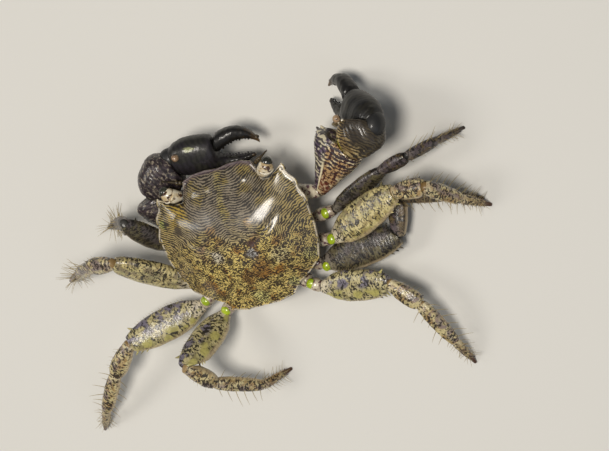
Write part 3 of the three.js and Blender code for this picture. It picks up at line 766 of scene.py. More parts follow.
# Toe shell wears down to a bare brown tip.
TOE = marbled_leg(
    "marbled_toe_shell", "#bcab7e", "#937c52", "#241810", "#80592f", 0.2, 0.2, 0.0, 0.3, tip="#4a2c16")
# Its toes, darkened the same way with painted shade.
SHADE_PAINTED_TOE = marbled_leg(
    "shade_painted_marbled_toe_shell", "#66583c", "#4a3e2b", "#17120d", "#4d371f", 0.2, 0.2, 0.0, 0.1, 0.35,
    tip="#2b1b10")
# Softer, chalky shell under the body, dull because it stays dry of the film.
PALE = speckled("chalky_underside_shell", "#b9ad8c", "#a59473", "#75606a", 0.5, size_mm=0.9, share=0.6)
# Thin new shell at the leg roots, with a pearly sheen and wine-red specks.
PEARL = speckled("pearly_leg_root_shell", "#ccc1a8", "#a08f78", "#54303a", 0.4, 0.9, 0.54, coat=0.7)
# Stretched, see-through joint skin, bright lime and soft with a wet shine.
MEMBRANE = speckled("lime_joint_skin", "#aac018", "#93aa16", "#6f7f2a", 0.34, 0.6, 0.64, 0.2, coat=0.7)
# Folded joint skin between leg pieces, dull buff.
SOFT_JOINT = speckled("buff_joint_skin", "#9a8055", "#7c6238", "#43331f", 0.5, share=0.58)
# Darker joint skin: the claws' own dark skin, and painted shade in the joints of the legs that lie in
# shadow.
DARK_JOINT = speckled("dark_claw_joint_skin", "#211f18", "#1a1a1a", "#12100e", 0.6, share=0.58)
# Hard chitin at the fingertips: dark amber with a close shine.
HORN = speckled("amber_claw_horn", "#4a3a22", "#382b17", "#1c140b", 0.3, size_mm=0.7)
# Smooth eyestalk shell: cream with brown flecks, wet.
STALK = speckled("flecked_eyestalk_shell", "#e2d8bf", "#c0a87d", "#43250e", 0.35, 0.85, 0.54, coat=0.7)
# The faceted eye under its clear skin looks like dark olive glass.
CORNEA = speckled("olive_glass_cornea", "#3a3b2f", "#2b2b23", "#191a15", 0.25, 0.3, 0.6, coat=0.7)
# Stiff chitin bristles, straw-coloured and shiny. They are drawn thicker than real ones so that they show.
BRISTLE = speckled("straw_bristle", "#a39266", "#85754b", "#5f5032", 0.35, size_mm=0.8, share=0.6)
# Grains of thick bare shell, white and wet, so that each one glints.
GRANULE = speckled("white_shell_grain", "#e4dcc8", "#cfc1a0", "#94805e", 0.3, 1.2, 0.62, coat=0.6)
# The smooth round knob on each claw, buff-brown and wet, so that it carries one small highlight.
TUBERCLE = speckled("amber_claw_knob", "#a58a6c", "#86694e", "#4a3626", 0.3, 0.9, 0.6, coat=0.7)
# Thin ringed feeler shell, plain brown with a faint shine.
FEELER = speckled("brown_feeler_shell", "#4c4029", "#3a3020", "#1e170f", 0.4)
CLAW_MERUS = claw_merus_shell()
# The claw's wrist: wet buff shell under bold dark bands, which darkens towards the hand.
CLAW_CARPUS = banded_claw(
    "banded_claw_wrist_shell", "#bca777", "#7d6843", "#1d1410", 0.9, 0.95, 0.95, 4.0, coat=0.5,
    far=("#241f19", 0.3, 0.55), near="#a39a2c")
# The claw's hand: near-black olive shell whose bands only show in the shine. Its own colour is dark, and
# painted shade makes it darker still.
CLAW_PALM = banded_claw("olive_claw_hand_shell", "#211f18", "#1a1a1a", "#0f0d0c", 0.3, 1.1, 0.6)
# The folded claw's arm and wrist: dusky purple shell with pale specks, its own dark colour deepened by
# painted shade.
LEFT_CLAW = banded_claw(
    "dark_purple_claw_shell", "#41373c", "#2c2226", "#171216", 0.5, 1.2, 0.7, 2.2, coat=0.4,
    specks="#8d8272")
# Its hand is as dark as the other one, with one pale olive blotch: dark shell of its own, with painted shade
# over it.
LEFT_PALM = banded_claw(
    "dark_olive_claw_hand_shell", "#262520", "#211d22", "#100e0d", 0.3, 1.2, 0.6,
    spot=((9.5, 10.0, 4.66), "#8d9064"))
# Both movable fingers: black shell, partly its own colour and partly painted shade, a little glossier, that
# turns to brown horn at the end.
FINGER = banded_claw(
    "black_finger_shell", "#171410", "#12100e", "#0b0908", 0.1, 1.6, 0.6, coat=0.4,
    far=("#5a421f", 0.86, 0.99))


# ---- Shell ----

RIM_POINTS = 520
UNDER_SCALES = np.concatenate([np.linspace(0.3, 0.9, 12), np.linspace(0.92, 1.0, 8)])
TOP_SCALES = np.concatenate([np.linspace(1.0, 0.93, 14), np.linspace(0.925, 0.02, 104)])
UNDER_ROWS = np.array([  # scale, share of the rim's height that is taken off, drop
    (0.3, 1.0, 4.2), (0.66, 1.0, 4.2), (0.84, 0.4, 3.2), (0.96, 0.0, 1.5), (1.0, 0.0, 0.62),
])
TOP_SINK = 0.1  # the back starts this far below the rim's plane
SHELL_HUMPS = [  # height, middle and reach of each swelling. One with its height below zero is a pit.
    (0.30, (0, 3.8), (5.2, 4.0)), (0.28, (0, -6.0), (3.2, 3.2)), (0.42, (9.8, -2.5), (4.2, 5.5)),
    (0.20, (11.2, 7.0), (3.0, 2.4)), (0.34, (1.9, 12.7), (1.4, 1.0)), (0.30, (5.4, 12.6), (1.6, 0.9)),
    (-0.22, (3.3, -3.6), (1.0, 1.3)),
]
SHELL_TEETH = [  # place, length and half width of the sharp teeth behind each eye
    ((14.5, 11.7), 1.5, 0.8), ((16.1, 7.9), 1.7, 0.75), ((17.0, 4.0), 1.4, 0.65),
]
TOOTH_Z = -0.25
STERNUM_MIDDLE_Y = -3.0
STERNUM_FURROWS = (4.4, 1.2, -2.0, -5.2, -8.4)  # forward places
STERNUM_FLOOR, STERNUM_EDGE, STERNUM_ROOF = -9.0, -7.6, -4.5  # heights. Furrows end at the edge
TAIL_PLATES = 7
TAIL_STEPS = 56
TAIL_OVERLAP = 0.12  # share of a plate that lies over the next one
SIDES = (1, -1)  # right and left


def even_rim(rim, count, soften):
    """The rim as equally spaced points, with its corners eased over a few of them."""
    loop = np.concatenate([rim, rim[:1]])
    lengths = np.concatenate([[0], np.cumsum(np.linalg.norm(np.diff(loop, axis=0), axis=1))])
    places = np.linspace(0, lengths[-1], count, endpoint=False)
    points = np.stack([np.interp(places, lengths, loop[:, k]) for k in range(3)], -1)
    for _ in range(soften):
        points = 0.5 * points + 0.25 * (np.roll(points, 1, 0) + np.roll(points, -1, 0))
    return points


def bell(away, reach):
    """1 in the middle, falling off smoothly to 0 within about twice the reach."""
    return np.exp(-((away / reach) ** 2))


def shell_relief(x, y, scale):
    """The swellings and furrows of the shell's regions, in millimetres."""
    side = np.abs(x)
    high = sum(
        height * bell(side - at[0], size[0]) * bell(y - at[1], size[1]) for height, at, size in SHELL_HUMPS)
    furrow = bell(y - (-1.6 + 0.62 * np.maximum(side - 3.0, 0)), 0.9)
    high -= 0.30 * furrow * np.clip((side - 2.0) / 2, 0, 1) * np.clip((11.5 - side) / 3, 0, 1)
    high -= 0.16 * bell(x, 0.5) * np.clip((y - 8) / 3, 0, 1)
    high += 0.01 * waves(x * 0.8, y * 0.8, seed=2)
    inwards = 1 - scale
    rim_line = 0.16 * bell(inwards, 0.010) - 0.05 * bell(inwards - 0.035, 0.015)
    return high * np.clip(inwards / 0.06, 0, 1) + rim_line


def carapace():
    rim, soft = (even_rim(mirrored_rim(SHELL_RIM), RIM_POINTS, soften) for soften in (2, 900))

    def ring(scale, height):
        evened = min((1 - scale) / EVEN_BELOW_RIM, 1)
        edge = rim * (1 - evened) + soft * evened
        x, y = edge[:, 0] * scale, SHELL_MIDDLE_Y + (edge[:, 1] - SHELL_MIDDLE_Y) * scale
        return np.stack([x, y, height(edge[:, 2], x, y, scale)], -1)

    def top(edge, x, y, scale):
        return edge * scale**2 + DOME_RISE * (1 - scale**2.4) + shell_relief(x, y, scale) - TOP_SINK

    def under(edge, x, y, scale):
        taken, drop = (np.interp(scale, UNDER_ROWS[:, 0], UNDER_ROWS[:, k]) for k in (1, 2))
        return edge * (1 - taken) - drop

    levels = [(scale, under, 1) for scale in UNDER_SCALES] + [(scale, top, 0) for scale in TOP_SCALES]
    shape = Shape()
    shape.add(np.array([ring(scale, height) for scale, height, _ in levels]),
              zones=np.array([[(scale, below, 0)] * RIM_POINTS for scale, _, below in levels], float))
    # The sharp teeth of the front corners point ahead, each a flat blade on the rim.
    for side in SIDES:
        for (x, y), length, girth in SHELL_TEETH:
            root, way = np.array((side * x, y, TOOTH_Z)), unit((side * 0.12, 1, 0.05))
            blade = [(0, girth, 0.32), (0.3, 0.9 * girth, 0.3), (0.7, 0.5 * girth, 0.2), (1, 0.08, 0.06)]
            limb(shape, root, root + length * way, (side, 0, 0), blade, steps=16, sides=20,
                 tone=(0.995, 0, 0))
    shape.piece("carapace_shell", SHELL, "shell", True, ["carapace"])


def sternum():
    """The chest plates: a slab with a furrow between each pair of legs."""
    rim = even_rim(mirrored_rim(STERNUM_RIM), 180, 30)
    levels = [(s, STERNUM_FLOOR - 0.05 * (1 - s)) for s in np.linspace(0.03, 0.4, 10)]
    levels += [(s, STERNUM_FLOOR + 0.9 * ((s - 0.4) / 0.6) ** 2.2) for s in np.linspace(0.44, 0.98, 16)]
    levels += [(1, -7.9), (1, -6.5), (1, -4.8), (0.96, STERNUM_ROOF), (0.5, STERNUM_ROOF)]
    scales, heights = np.array(levels).T[..., None]
    x, y = rim[:, 0] * scales, STERNUM_MIDDLE_Y + (rim[:, 1] - STERNUM_MIDDLE_Y) * scales
    z = heights + 0 * x
    for row in STERNUM_FURROWS:
        furrow = 0.28 * bell(y - row + 0.12 * np.abs(x), 0.28) * np.clip((np.abs(x) - 2.2) / 1.5, 0, 1)
        z += furrow * (z < STERNUM_EDGE)
    shape = Shape()
    shape.add(np.stack([x, y, z], -1), zones=(0.5, 0, 0))
    shape.piece("sternum_plates", PALE, "underside", True, ["sternum"])


def tail():
    """Plates folded under the body, each lapping over the next."""
    rows = eased(np.column_stack([np.arange(len(TAIL_PATH)), TAIL_PATH]),
                 np.linspace(0, len(TAIL_PATH) - 1, TAIL_STEPS + 1))
    ways = unit(np.gradient(rows[:, :2], axis=0))
    turn = around_circle(28)
    across, up = (np.sign(part) * np.abs(part) ** 0.8 for part in (np.cos(turn), np.sin(turn)))
    up = np.where(up > 0, 1, 0.6) * up  # flatter on the side that faces the body
    shape = Shape()
    for plate in range(TAIL_PLATES):
        first = int(plate / TAIL_PLATES * 0.98 * TAIL_STEPS)
        last = round(min((plate + 1 + TAIL_OVERLAP) / TAIL_PLATES, 1.0) * TAIL_STEPS)
        k = np.arange(first, last + 1)
        lap = (k - first) / (last - first)
        wide = rows[k, 2] * (0.9 + 0.1 * np.sqrt(np.sin(np.pi * lap)))
        swell = TAIL_THICKNESS / 2 + 0.06 + 0.34 * lap - 0.25 * (lap < 0.08)
        raised = swell[:, None] * up
        shape.add(np.stack([
            wide[:, None] * across,
            rows[k, 0][:, None] + raised * ways[k, 1][:, None],
            rows[k, 1][:, None] - raised * ways[k, 0][:, None],
        ], -1), zones=(0.5, 0, 0))
    shape.piece("tail_plates", PALE, "underside", True, ["abdomen"])


def mouthparts():
    """The pair of outer jaw-legs that close the mouth, with a cheek plate behind them."""
    lower = [(0, 1.5, 0.7), (0.15, 1.9, 0.9), (0.6, 2.0, 0.95), (1, 1.7, 0.8)]
    upper = [(0, 1.5, 0.7), (0.3, 1.75, 0.85), (0.8, 1.5, 0.75), (1, 0.9, 0.5)]
    palp = [(0, 0.5, 0.5), (0.5, 0.55, 0.5), (1, 0.3, 0.3)]
    parts = [  # start, end, profile, steps and sides
        ((1.9, 8.3, -9.0), (2.35, 10.3, -6.7), lower, 24, 28),
        ((2.35, 10.4, -6.6), (2.5, 11.0, -4.9), upper, 22, 28),
        ((1.2, 11.5, -5.6), (0.9, 11.4, -7.6), palp, 14, 16),
    ]
    upright = [(0, 0, 1), (1, 0, 0), (0, 1, 0)]
    shape = Shape()
    for side in SIDES:
        mirror = np.array((side, 1, 1))
        for start, end, profile, steps, sides in parts:
            limb(shape, start * mirror, end * mirror, (1, 0, 0), profile, steps=steps, sides=sides)
        bead(shape, (side * 3.9, 8.9, -6.4), upright, (2.1, 1.0, 1.9))
    bead(shape, (0, 8.6, -6.3), upright, (2.0, 4.2, 1.6))
    shape.piece("mouth_plates", PALE, "underside", True, ["mouthparts"])


def cheeks():
    """The plates under the front edge: brow, feeler sockets and the side walls of the body."""
    shaded_brow = [(0, 0.5, 0.9), (0.2, 0.7, 1.4), (0.5, 0.8, 1.6), (0.8, 0.7, 1.4), (1, 0.5, 0.9)]
    wall = [(0, 0.8, 1.2), (0.3, 1.1, 1.7), (0.7, 1.1, 1.7), (1, 0.7, 1.2)]
    shape = Shape()
    limb(shape, (-7.4, 14.2, -2.6), (7.4, 14.2, -2.6), (0, 1, 0), shaded_brow, steps=40, sides=24)
    for side in SIDES:
        bead(shape, (side * 2.6, 14.9, -3.3), np.eye(3), (1.4, 0.8, 0.8))
        limb(shape, (side * 6.0, 11.2, -3.4), (side * 12.4, 4.0, -3.9), (side * 0.75, 0.66, 0), wall,
             steps=36, sides=24)
    shape.piece("cheek_plates", PALE, "underside", True)


def eye(word, side):
    joints = np.array(EYE_JOINTS) * (side, 1, 1)
    stalk_rows = [(0, 0.9, 0.9), (0.3, 1.3, 1.3), (0.7, 1.55, 1.55), (1, 1.5, 1.5)]
    knob, crescent, ball = Shape(), Shape(), Shape()
    limb(knob, joints[0], joints[1], (0, 0, 1), stalk_rows, steps=30, sides=36, power=2)
    # The speckled knob at the stalk's end, whose rear rim stands up as a pale crescent.
    along = unit(joints[2] - joints[1])
    across = unit(np.cross(along, (0, 0, 1)))
    up = np.cross(across, along)
    axes = [along, across, up]
    bead(knob, joints[1] + 0.35 * along + 0.05 * up, axes, (1.55, 1.62, 1.5), sides=36, steps=24)
    knob.piece(f"eyestalk_{word}_knob", STALK, "eyestalk", True, [f"eyestalk_{word}"])
    steps = 30
    swing = np.linspace(-1.9, 1.9, steps)[:, None]
    arc = 1.62 * (np.cos(swing) * (0.86 * up - 0.5 * along) + np.sin(swing) * across)
    girths = 0.2 * np.sin(np.linspace(0.12, math.pi - 0.12, steps)) ** 0.7
    ways, outward = unit(np.gradient(arc, axis=0)), unit(arc)
    tube(crescent, joints[1] + 0.1 * along + arc, girths, outward, np.cross(ways, outward), 12)
    crescent.piece(f"eyestalk_{word}_crescent", GRANULE, "eyestalk", True)
    bead(ball, joints[1] + 1.25 * along - 0.1 * up, axes, (1.4, 1.25, 1.2), sides=40, steps=26)
    ball.piece(f"eye_{word}_cornea", CORNEA, "cornea", True, [f"eye_{word}"])


def feeler(word, side):
    """A feeler: three stout joints at its root and a fine whip of short rings."""
    root, tip = np.array((side * 8.2, 14.3, -2.8)), np.array((side * 12.6, 16.5, -0.3))
    way, whip_start = tip - root, 0.44
    stout = [(0, 0.4, 0.4), (0.4, 0.5, 0.5), (0.8, 0.45, 0.45), (1, 0.34, 0.34)]
    shape = Shape()
    for low, high in ((0, 0.17), (0.17, 0.32), (0.32, whip_start)):
        limb(shape, root + low * way, root + high * way, (0, 0, 1), stout, steps=12, sides=16, power=2)
    share = np.linspace(whip_start, 1, 40)
    taper = 0.27 - 0.14 * (share - whip_start) / (1 - whip_start)
    girths = taper * (1 + 0.12 * (np.arange(40) % 2))
    across = unit(np.cross(way, (0, 0, 1)))
    tube(shape, root + share[:, None] * way, girths, across, unit(np.cross(across, way)), 12)
    shape.piece(f"antenna_{word}_feeler", FEELER, "feeler", True, [f"antenna_{word}"])


# ---- Legs ----


def fine_ribs(spacing, height):
    """Low wavy ribs across the upper side of a limb, as crab legs have."""

    def relief(share, angle, around, place):
        shifted = place / spacing + 0.6 * waves(place / 2, around / 1.5)
        rib = (1 - np.abs(shifted % 1 - 0.5) * 2) ** 2
        keep = np.clip(np.sin(angle) * 2 + 0.4, 0, 1)
        return height * rib * keep + 0.05 * waves(place / 1.6, around / 1.2, seed=3)

    return relief


def ridged(height):
    """Long ridges on the upper side of a leg's outer pieces, with small bumps."""

    def relief(share, angle, around, place):
        ridge = sum(bell(angle - at, 0.22) for at in (0.75, 1.57, 2.4))
        flat = np.sin(np.pi * np.clip(share, 0.02, 0.98)) ** 0.5
        return height * ridge * flat + 0.05 * waves(place / 0.9, around / 0.8, seed=5)

    return relief


HIP_SPLIT = 0.52  # share of the hip where its first joint ends
HIP_GAP = 0.25
LIME_HEIGHT = 1.15
LIME_RADII = (1.0, 1.15, 0.62)
# The hip's two short joints, in millimetres: the profile, and the spacing and height of the ribs.
COXA = ([(0, 1.35, 1.5), (0.35, 1.6, 1.75), (0.8, 1.55, 1.7), (1, 1.1, 1.25)], fine_ribs(0.9, 0.06))
BASIS = ([(0, 1.05, 1.2), (0.3, 1.45, 1.6), (0.75, 1.35, 1.5), (1, 1.1, 1.2)], fine_ribs(0.8, 0.05))
LEG_RELIEFS = {
    "merus": fine_ribs(0.75, 0.09), "carpus": ridged(0.14), "propodus": ridged(0.11), "dactyl": ridged(0.07),
}
TOE_SHARES = np.linspace(0.12, 0.78, 6)
# Spines: side, shares of the length, spread of the angle, length, radius and lean towards the foot.
LEG_SPINES = {
    "merus": [
        ("front", (0.9,), 0, 1.0, 0.42, 0.8), ("rear", (0.84,), 0, 0.55, 0.28, 1.2),
        ("rear", (0.9,), 0, 0.7, 0.28, 1.2), ("rear", (0.955,), 0, 0.85, 0.28, 1.2),
    ],
    "carpus": [("front", (0.9,), 0, 0.45, 0.26, 0.8)],
    "propodus": [("rear", np.linspace(0.15, 0.92, 7), 0.2, 0.32, 0.13, 0.8)],
    "dactyl": [(side, TOE_SHARES, 0.2, 0.34, 0.13, 0.9) for side in ("front", "upper", "rear", "lower")],
}
# How deep a spine is set, and how far to the front (or, below 0, the rear) its finish takes it to be.
TOE_SPINE_MARKS, SPINE_MARKS = (0.1, 0.3), (0.25, -0.8)
# Bristles: shares of the length, then side, spread of the angle, least and spare length, and radius.
LEG_BRISTLES = {
    "merus": (np.linspace(0.2, 0.82, 16), [("front", 0.2, 0.5, 0.3, 0.045)]),
    "carpus": (np.linspace(0.3, 0.85, 5), [("front", 0.3, 0.9, 0.5, 0.05)]),
    "propodus": (np.linspace(0.1, 0.95, 6), [
        ("front", 0.5, 2.2, 1.6, 0.09), ("rear", 0.5, 1.4, 1.2, 0.09), ("upper", 0.8, 0.8, 0.5, 0.05),
    ]),
    "dactyl": (np.linspace(0.06, 0.7, 8), [
        (side, 0.6, 1.2, 1.2, 0.06) for side in ("front", "rear", "upper")
    ]),
}
# The feet may dip this little below the floor, where to_scene flattens them.
FLOOR_PLANE = (np.array((0, 0, -0.15)), np.array((0, 0, -1.0)))


def leg_joints(pair, pose):
    """The joints from the body to the foot, whose last piece slopes so that it reaches the floor."""
    joints = [np.array(pose[0], float), np.array(pose[1], float)]
    for length, turn, rise in zip(LEG_LENGTHS[pair], pose[2], pose[3] + (None,)):
        if rise is None:
            rise = -math.degrees(math.asin(joints[-1][2] / length))
        joints.append(joints[-1] + length * heading(turn, rise))
    return joints


def joint_planes(joints, alongs):
    """A place and a direction at each joint, halfway between the pieces that meet there."""
    return list(zip(joints, alongs[:1] + [unit(a + b) for a, b in zip(alongs, alongs[1:])]))


def leg_across(along, roll, side):
    level = unit(np.cross((0, 0, 1), along)) * side
    return turned(level, along, roll * side)


def spread(reach):
    """A random share of an angle's reach, to either side."""
    return reach * (rng.random() - 0.5)


def bristle(shape, surface, number, share, angle, length, radius):
    """A stiff hair that leans towards the foot and bends, each a little differently."""
    out = out_of(surface, share, angle)
    way = unit(out + 0.35 * surface.along + 0.25 * (rng.random(3) - 0.5))
    bend = 0.16 * length * (surface.along + 0.5 * (rng.random(3) - 0.5))
    root = on(surface, share, angle) - 0.1 * out
    unwrap = ((number + share) / (len(LEG_PIECES) + 1), (angle / (2 * math.pi)) % 1)
    thorn(shape, root, way, length, radius, bend, sides=5, steps=7, blunt=0.25, unwrap=unwrap)


def leg(name, pose):
    pair, side = int(name[-1]) - 1, 1 if "right" in name else -1
    shade_painted = name in SHADE_PAINTED_LEGS
    joints = leg_joints(pair, pose)
    alongs = [unit(b - a) for a, b in zip(joints, joints[1:])]
    planes = joint_planes(joints, alongs) + [FLOOR_PLANE]
    offset = (31.0 * pair + 7, 17.0 * side + 5 * pair, 3.0 * pair)
    base, skin, soft, bristles = Shape(), Shape(), Shape(), Shape()

    # The short joints at the body, pearly with a bulge of lime skin between them.
    hip = joints[1] - joints[0]
    split = joints[0] + HIP_SPLIT * hip
    across = leg_across(alongs[0], 0, side)
    for start, end, ends, (rows, relief) in (
        (joints[0], split, (planes[0], None), COXA),
        (split + HIP_GAP * alongs[0], joints[1], (None, planes[1]), BASIS),
    ):
        limb(base, start, end, across, rows, ends, steps=26, sides=32, relief=relief, offset=offset)
    base.piece(f"{name}_hip", PEARL, "underside", replaces=[f"{name}_base"])
    up = unit(np.cross(alongs[0], across))
    up = up if up[2] > 0 else -up
    swell = joints[0] + LIME_SHARES.get(name, USUAL_LIME_SHARE) * hip + LIME_HEIGHT * up
    bead(skin, swell, [alongs[0], across, up], LIME_RADII)
    skin.piece(f"{name}_hip_skin", MEMBRANE, "leg")

    finishes = {"merus": LEG if pair == 1 else REAR_LEG, "dactyl": TOE}
    # Legs that lie in shadow take the darker finishes: painted shade.
    if shade_painted:
        finishes = {"merus": SHADE_PAINTED_LEG, "dactyl": SHADE_PAINTED_TOE}
    for index, piece in enumerate(LEG_PIECES):
        toe = piece == "dactyl"
        start, end = joints[index + 1], joints[index + 2]
        half_wide = LEG_WIDTHS[pair][index] / 2
        half_thick = half_wide * THICKNESS_SHARE[index]
        rows = [(s, w * half_wide, t * half_thick) for s, w, t in LEG_PROFILES[piece]]
        if toe:
            rows.append((1, FOOT_RADIUS, FOOT_RADIUS))
        across = leg_across(alongs[index + 1], pose[4], side)
        shape = Shape()
        surface = limb(shape, start, end, across, rows, (planes[index + 1], planes[index + 2]), sides=48,
                       steps=90 if piece == "merus" else 60, relief=LEG_RELIEFS[piece], offset=offset)
        upper = math.pi / 2 * (1 if surface.thick[2] > 0 else -1)
        angle_of = {"front": 0.0, "rear": math.pi, "upper": upper, "lower": upper + math.pi}
        sink, facing = TOE_SPINE_MARKS if toe else SPINE_MARKS
        for word, shares, reach, length, radius, lean in LEG_SPINES[piece]:
            for share in shares:
                angle = angle_of[word] + (spread(reach) if reach else 0)
                at = on(surface, share, angle)
                way = unit(out_of(surface, share, angle) + lean * surface.along)
                thorn(shape, at - sink * way, way, length + sink, radius, 0.1 * surface.along, sides=10,
                      spots=at, zones=(share, facing, 0))
        longer = BRUSH_EXTRA if toe and name in BRUSH_TOES else 0
        shares, tufts = LEG_BRISTLES[piece]
        for share in shares:
            for word, reach, least, spare, radius in tufts:
                bristle(bristles, surface, index + 1, share, angle_of[word] + spread(reach),
                        least + longer + spare * rng.random(), radius)
        # The outer pieces of legs in shadow take the darker finish: painted shade.
        material = finishes.get(piece, SHADE_PAINTED_LEG_END if shade_painted else LEG_END)
        slot = "foot" if toe else "leg"
        shape.piece(f"{name}_{piece}_shell", material, slot, replaces=[f"{name}_{piece}"])
        if index:
            # Soft skin shows in the joint before this piece.
            bead(soft, start, [planes[index + 1][1], across, surface.thick],
                 (0.75, half_wide * 0.62, min(half_thick * 0.72, 1.1)), spots=(0, index, pair))
    # Their joint skin is darker too: painted shade.
    soft.piece(f"{name}_joint_skin", DARK_JOINT if shade_painted else SOFT_JOINT, "leg")
    bristles.piece(f"{name}_bristles", BRISTLE, "foot")


# ---- Claws ----

HORN_ROWS = [(0, 0.3, 0.36), (0.5, 0.5, 0.6), (0.85, 0.34, 0.4), (1, 0.16, 0.18)]
CORNER_GRAINS = ((0.3, 0.3), (0.42, 0.25), (0.86, 0.2), (0.95, 0.35), (0.5, 0.6))  # share and angle
INNER, OUTER = 0.0, math.pi  # angles of the two edges of a claw's pieces
FOLD_RADII = {1: (0.9, 1.0, 1.0), 2: (0.9, 1.5, 1.5)}  # joint skin: along, across and outwards


def granular(height, spacing):
    """The claw's surface: short wavy scales all over."""

    def relief(share, angle, around, place):
        slant = place / spacing + 0.35 * around / spacing + 0.5 * waves(place / 2, around / 2)
        rib = (1 - np.abs(slant % 1 - 0.5) * 2) ** 2
        return height * rib + 0.06 * waves(place / 1.3, around / 1.3, seed=4)

    return relief


def claw(name, pose):
    right = "right" in name
    joints = [np.array(j, float) for j in pose["joints"]]
    alongs = [unit(b - a) for a, b in zip(joints, joints[1:])]
    planes = joint_planes(joints, alongs)
    finger_way = np.array(pose["finger"])
    granules, knobs, soft, palm, fingers, tips = (Shape() for _ in range(6))
    surfaces = {}
    arm = (
        ("base", PEARL, "underside", 0.05),
        ("merus", CLAW_MERUS if right else LEFT_CLAW, "claw", 0.09),
        ("carpus", CLAW_CARPUS if right else LEFT_CLAW, "claw", 0.09),
    )
    for index, (piece, material, slot, height) in enumerate(arm):
        shape = Shape()
        surface = surfaces[piece] = limb(
            shape, joints[index], joints[index + 1], pose["inner"], CLAW_PROFILES[piece],
            (planes[index], planes[index + 1]), sides=64, steps=80, relief=granular(height, 1.0),
            offset=(3 if right else 57, 0, index * 9))
        if piece == "merus":
            # The inner lobe's edge carries blunt teeth that grow towards its end.
            for k, share in enumerate(np.linspace(0.5, 0.97, 8)):
                root = on(surface, share, INNER)
                way = unit(on(surface, share, INNER, 1.0) - root + 0.25 * surface.along)
                thorn(shape, root - 0.3 * way, way, 0.5 + 0.06 * k, 0.28 + 0.02 * k, blunt=0.4, spots=root,
                      zones=(share, 0.8, 0))
            for share in np.linspace(0.55, 0.95, 5):
                bead(granules, on(surface, share, 3.3), surface.axes, (0.16,) * 3, sides=10, steps=7)
        if piece == "carpus":
            # Small grains stand at its inner corner.
            for k, (share, angle) in enumerate(CORNER_GRAINS):
                radius = 0.28 - 0.03 * (k % 2)
                bead(granules, on(surface, share, angle), surface.axes, (radius,) * 3, sides=12, steps=9)
        shape.piece(f"{name}_{piece}_shell", material, slot, True, [f"{name}_{piece}"])

    def part(shape, piece, offset, spacing):
        rows = [(row[0] / CLAW_LENGTH,) + row[1:] for row in CLAW_PROFILES[piece]]
        end = joints[3] + CLAW_LENGTH * alongs[3]
        return limb(shape, joints[3], end, finger_way, rows, (planes[3], None), sides=64, steps=110,
                    relief=granular(0.045, spacing), offset=offset)

    hand = surfaces["palm"] = part(palm, "palm", (11, 4, 2), 0.9)
    thumb = part(fingers, "finger", (40, 9, 2), 1.2)
    # A round knob stands proud where carpus and palm meet.
    carrier, share, angle, height = pose["knob"]
    around = surfaces[carrier]
    bead(knobs, on(around, share, angle, height), around.axes, (KNOB_RADIUS,) * 3, sides=28, steps=20)
    # Blunt teeth line both fingers where they close. Each row starts and ends at these millimetres.
    for shape, surface, low, high, angle, count, seed in (
        (palm, hand, 11.6, 17.4, INNER, 10, 0.4), (fingers, thumb, 11.8, 18.2, OUTER, 11, 1.3),
    ):
        for k, share in enumerate(np.linspace(low, high, count) / CLAW_LENGTH):
            root, way = on(surface, share, angle), out_of(surface, share, angle)
            size = 0.30 + 0.22 * math.sin(2.1 * k + seed) ** 2 - 0.1 * k / count
            thorn(shape, root - 0.25 * way, way, size + 0.25, 0.34 * (0.6 + size), blunt=0.45, spots=root)
    for surface, place in ((hand, 17.6), (thumb, 19.0)):
        centre = sum(on(surface, place / CLAW_LENGTH, angle) for angle in (INNER, OUTER)) / 2
        limb(tips, centre - 0.5 * alongs[3], centre + 0.9 * alongs[3], finger_way, HORN_ROWS, steps=18,
             sides=24, power=2)
    tips.piece(f"{name}_horn_tips", HORN, "claw", True)
    palm.piece(f"{name}_palm_shell", CLAW_PALM if right else LEFT_PALM, "claw", True, [f"{name}_palm"])
    fingers.piece(f"{name}_finger_shell", FINGER, "claw", True, [f"{name}_finger"])
    for number, radii in {**FOLD_RADII, 3: pose["wrist"]}.items():
        way, outward = planes[number][1], unit(alongs[number - 1] - alongs[number])
        bead(soft, joints[number], [way, np.cross(way, outward), outward], radii, sides=44, steps=30,
             spots=(number, 0, 0))
    soft.piece(f"{name}_joint_skin", DARK_JOINT, "claw", True)
    granules.piece(f"{name}_granules", GRANULE, "claw", True)
    knobs.piece(f"{name}_knob", TUBERCLE, "claw", True)


# ---- Camera, light and floor ----

IMAGE_WIDTH, IMAGE_HEIGHT = 609, 451
CAMERA_TURN = (115.8, 66.9, -133.4)  # azimuth, height and roll in the shell's own frame
CAMERA_DISTANCE = 400.0
FOCAL_PIXELS = 1893.6
SHELL_MIDDLE_PIXEL = (238.8, 239.6)
SENSOR = 36.0
FLOOR_HALF = 1.5  # metres
LAMPS = [  # direction, distance and width in metres, watts and colour
    ("key_light", (0.03, 0.0, 1.0), 0.7, 0.23, 3.5, "#fff8ee"),
    ("side_light", (-0.75, 0.2, 0.75), 0.9, 0.3, 1.7, "#fffaf2"),
    ("fill_light", (0.7, -0.8, 0.7), 1.2, 0.9, 1.1, "#eaf1ff"),
]
AIM = Vector((0, 0, 0.01))  # the crab's middle
AIR_COLOUR, AIR_STRENGTH = "#dfe4ea", 0.16


def camera_axes():
    turn, height, roll = (math.radians(value) for value in CAMERA_TURN)
    level = math.cos(height)
    back = np.array([math.sin(turn) * level, -math.cos(turn) * level, math.sin(height)])
    right = unit(np.cross(-back, (0, 0, 1)))
    up = np.cross(right, -back)
    c, s = math.cos(roll), math.sin(roll)
    return c * right + s * up, -s * right + c * up, back


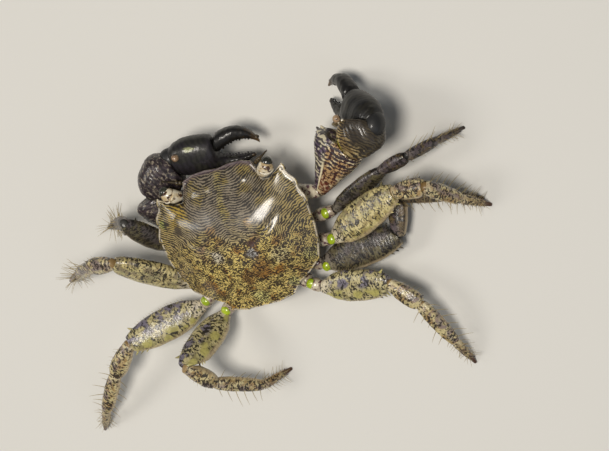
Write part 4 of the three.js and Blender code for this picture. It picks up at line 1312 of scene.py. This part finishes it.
def camera():
    right, up, back = camera_axes()
    per_pixel = CAMERA_DISTANCE / FOCAL_PIXELS
    aside = (IMAGE_WIDTH / 2 - SHELL_MIDDLE_PIXEL[0]) * per_pixel
    above = (SHELL_MIDDLE_PIXEL[1] - IMAGE_HEIGHT / 2) * per_pixel
    place = CAMERA_DISTANCE * back + aside * right + above * up
    data = bpy.data.cameras.new("camera")
    data.sensor_width = SENSOR
    data.lens = FOCAL_PIXELS / IMAGE_WIDTH * SENSOR
    data.clip_start, data.clip_end = 0.01, 10
    view = bpy.data.objects.new("camera", data)
    axes = Matrix([body_to_crab(axis) - body_to_crab((0, 0, 0)) for axis in (right, up, back)]).transposed()
    view.matrix_world = Matrix.Translation(Vector(to_scene(place, True))) @ axes.to_4x4()
    bpy.context.scene.collection.objects.link(view)
    bpy.context.scene.camera = view


def lamp(name, direction, distance, size, power, colour):
    """A round soft light, aimed at the crab's middle."""
    data = bpy.data.lights.new(name, "AREA")
    data.shape = "DISK"
    data.size, data.energy = size, power
    data.color = linear(colour)[:3]
    light = bpy.data.objects.new(name, data)
    way = Vector(unit(direction))
    light.location = way * distance + AIM
    light.rotation_mode = "QUATERNION"
    light.rotation_quaternion = way.to_track_quat("Z", "Y")
    bpy.context.scene.collection.objects.link(light)


def studio():
    floor = bpy.data.meshes.new("floor")
    corners = [(FLOOR_HALF * x, FLOOR_HALF * y, 0) for x, y in ((-1, -1), (1, -1), (1, 1), (-1, 1))]
    floor.from_pydata(corners, [], [(0, 1, 2, 3)])
    # Matt card, so that the floor takes the crab's shadow and shows no glare of its own.
    material, _, shader = finish("matt_studio_card", 0.8)
    shader.inputs["Base Color"].default_value = linear("#dcdbd6")
    floor.materials.append(material)
    ground = bpy.data.objects.new("floor", floor)
    bpy.context.scene.collection.objects.link(ground)
    ground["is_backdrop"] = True
    for settings in LAMPS:
        lamp(*settings)
    world = bpy.data.worlds.new("studio_air")
    world.use_nodes = True
    air = world.node_tree.nodes["Background"]
    air.inputs["Color"].default_value = linear(AIR_COLOUR)
    air.inputs["Strength"].default_value = AIR_STRENGTH
    bpy.context.scene.world = world
    bpy.context.scene.view_settings.view_transform = "Standard"


for build in (carapace, sternum, tail, mouthparts, cheeks):
    build()
for word, side in (("right", 1), ("left", -1)):
    eye(word, side)
    feeler(word, side)
for leg_name, leg_pose in LEG_POSES.items():
    leg(leg_name, leg_pose)
for claw_name, claw_pose in CLAW_POSES.items():
    claw(claw_name, claw_pose)
studio()
camera()

boxes = {"solids": solid_box, "looks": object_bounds()}
{word: [list(corner) for corner in box] for word, box in boxes.items()}
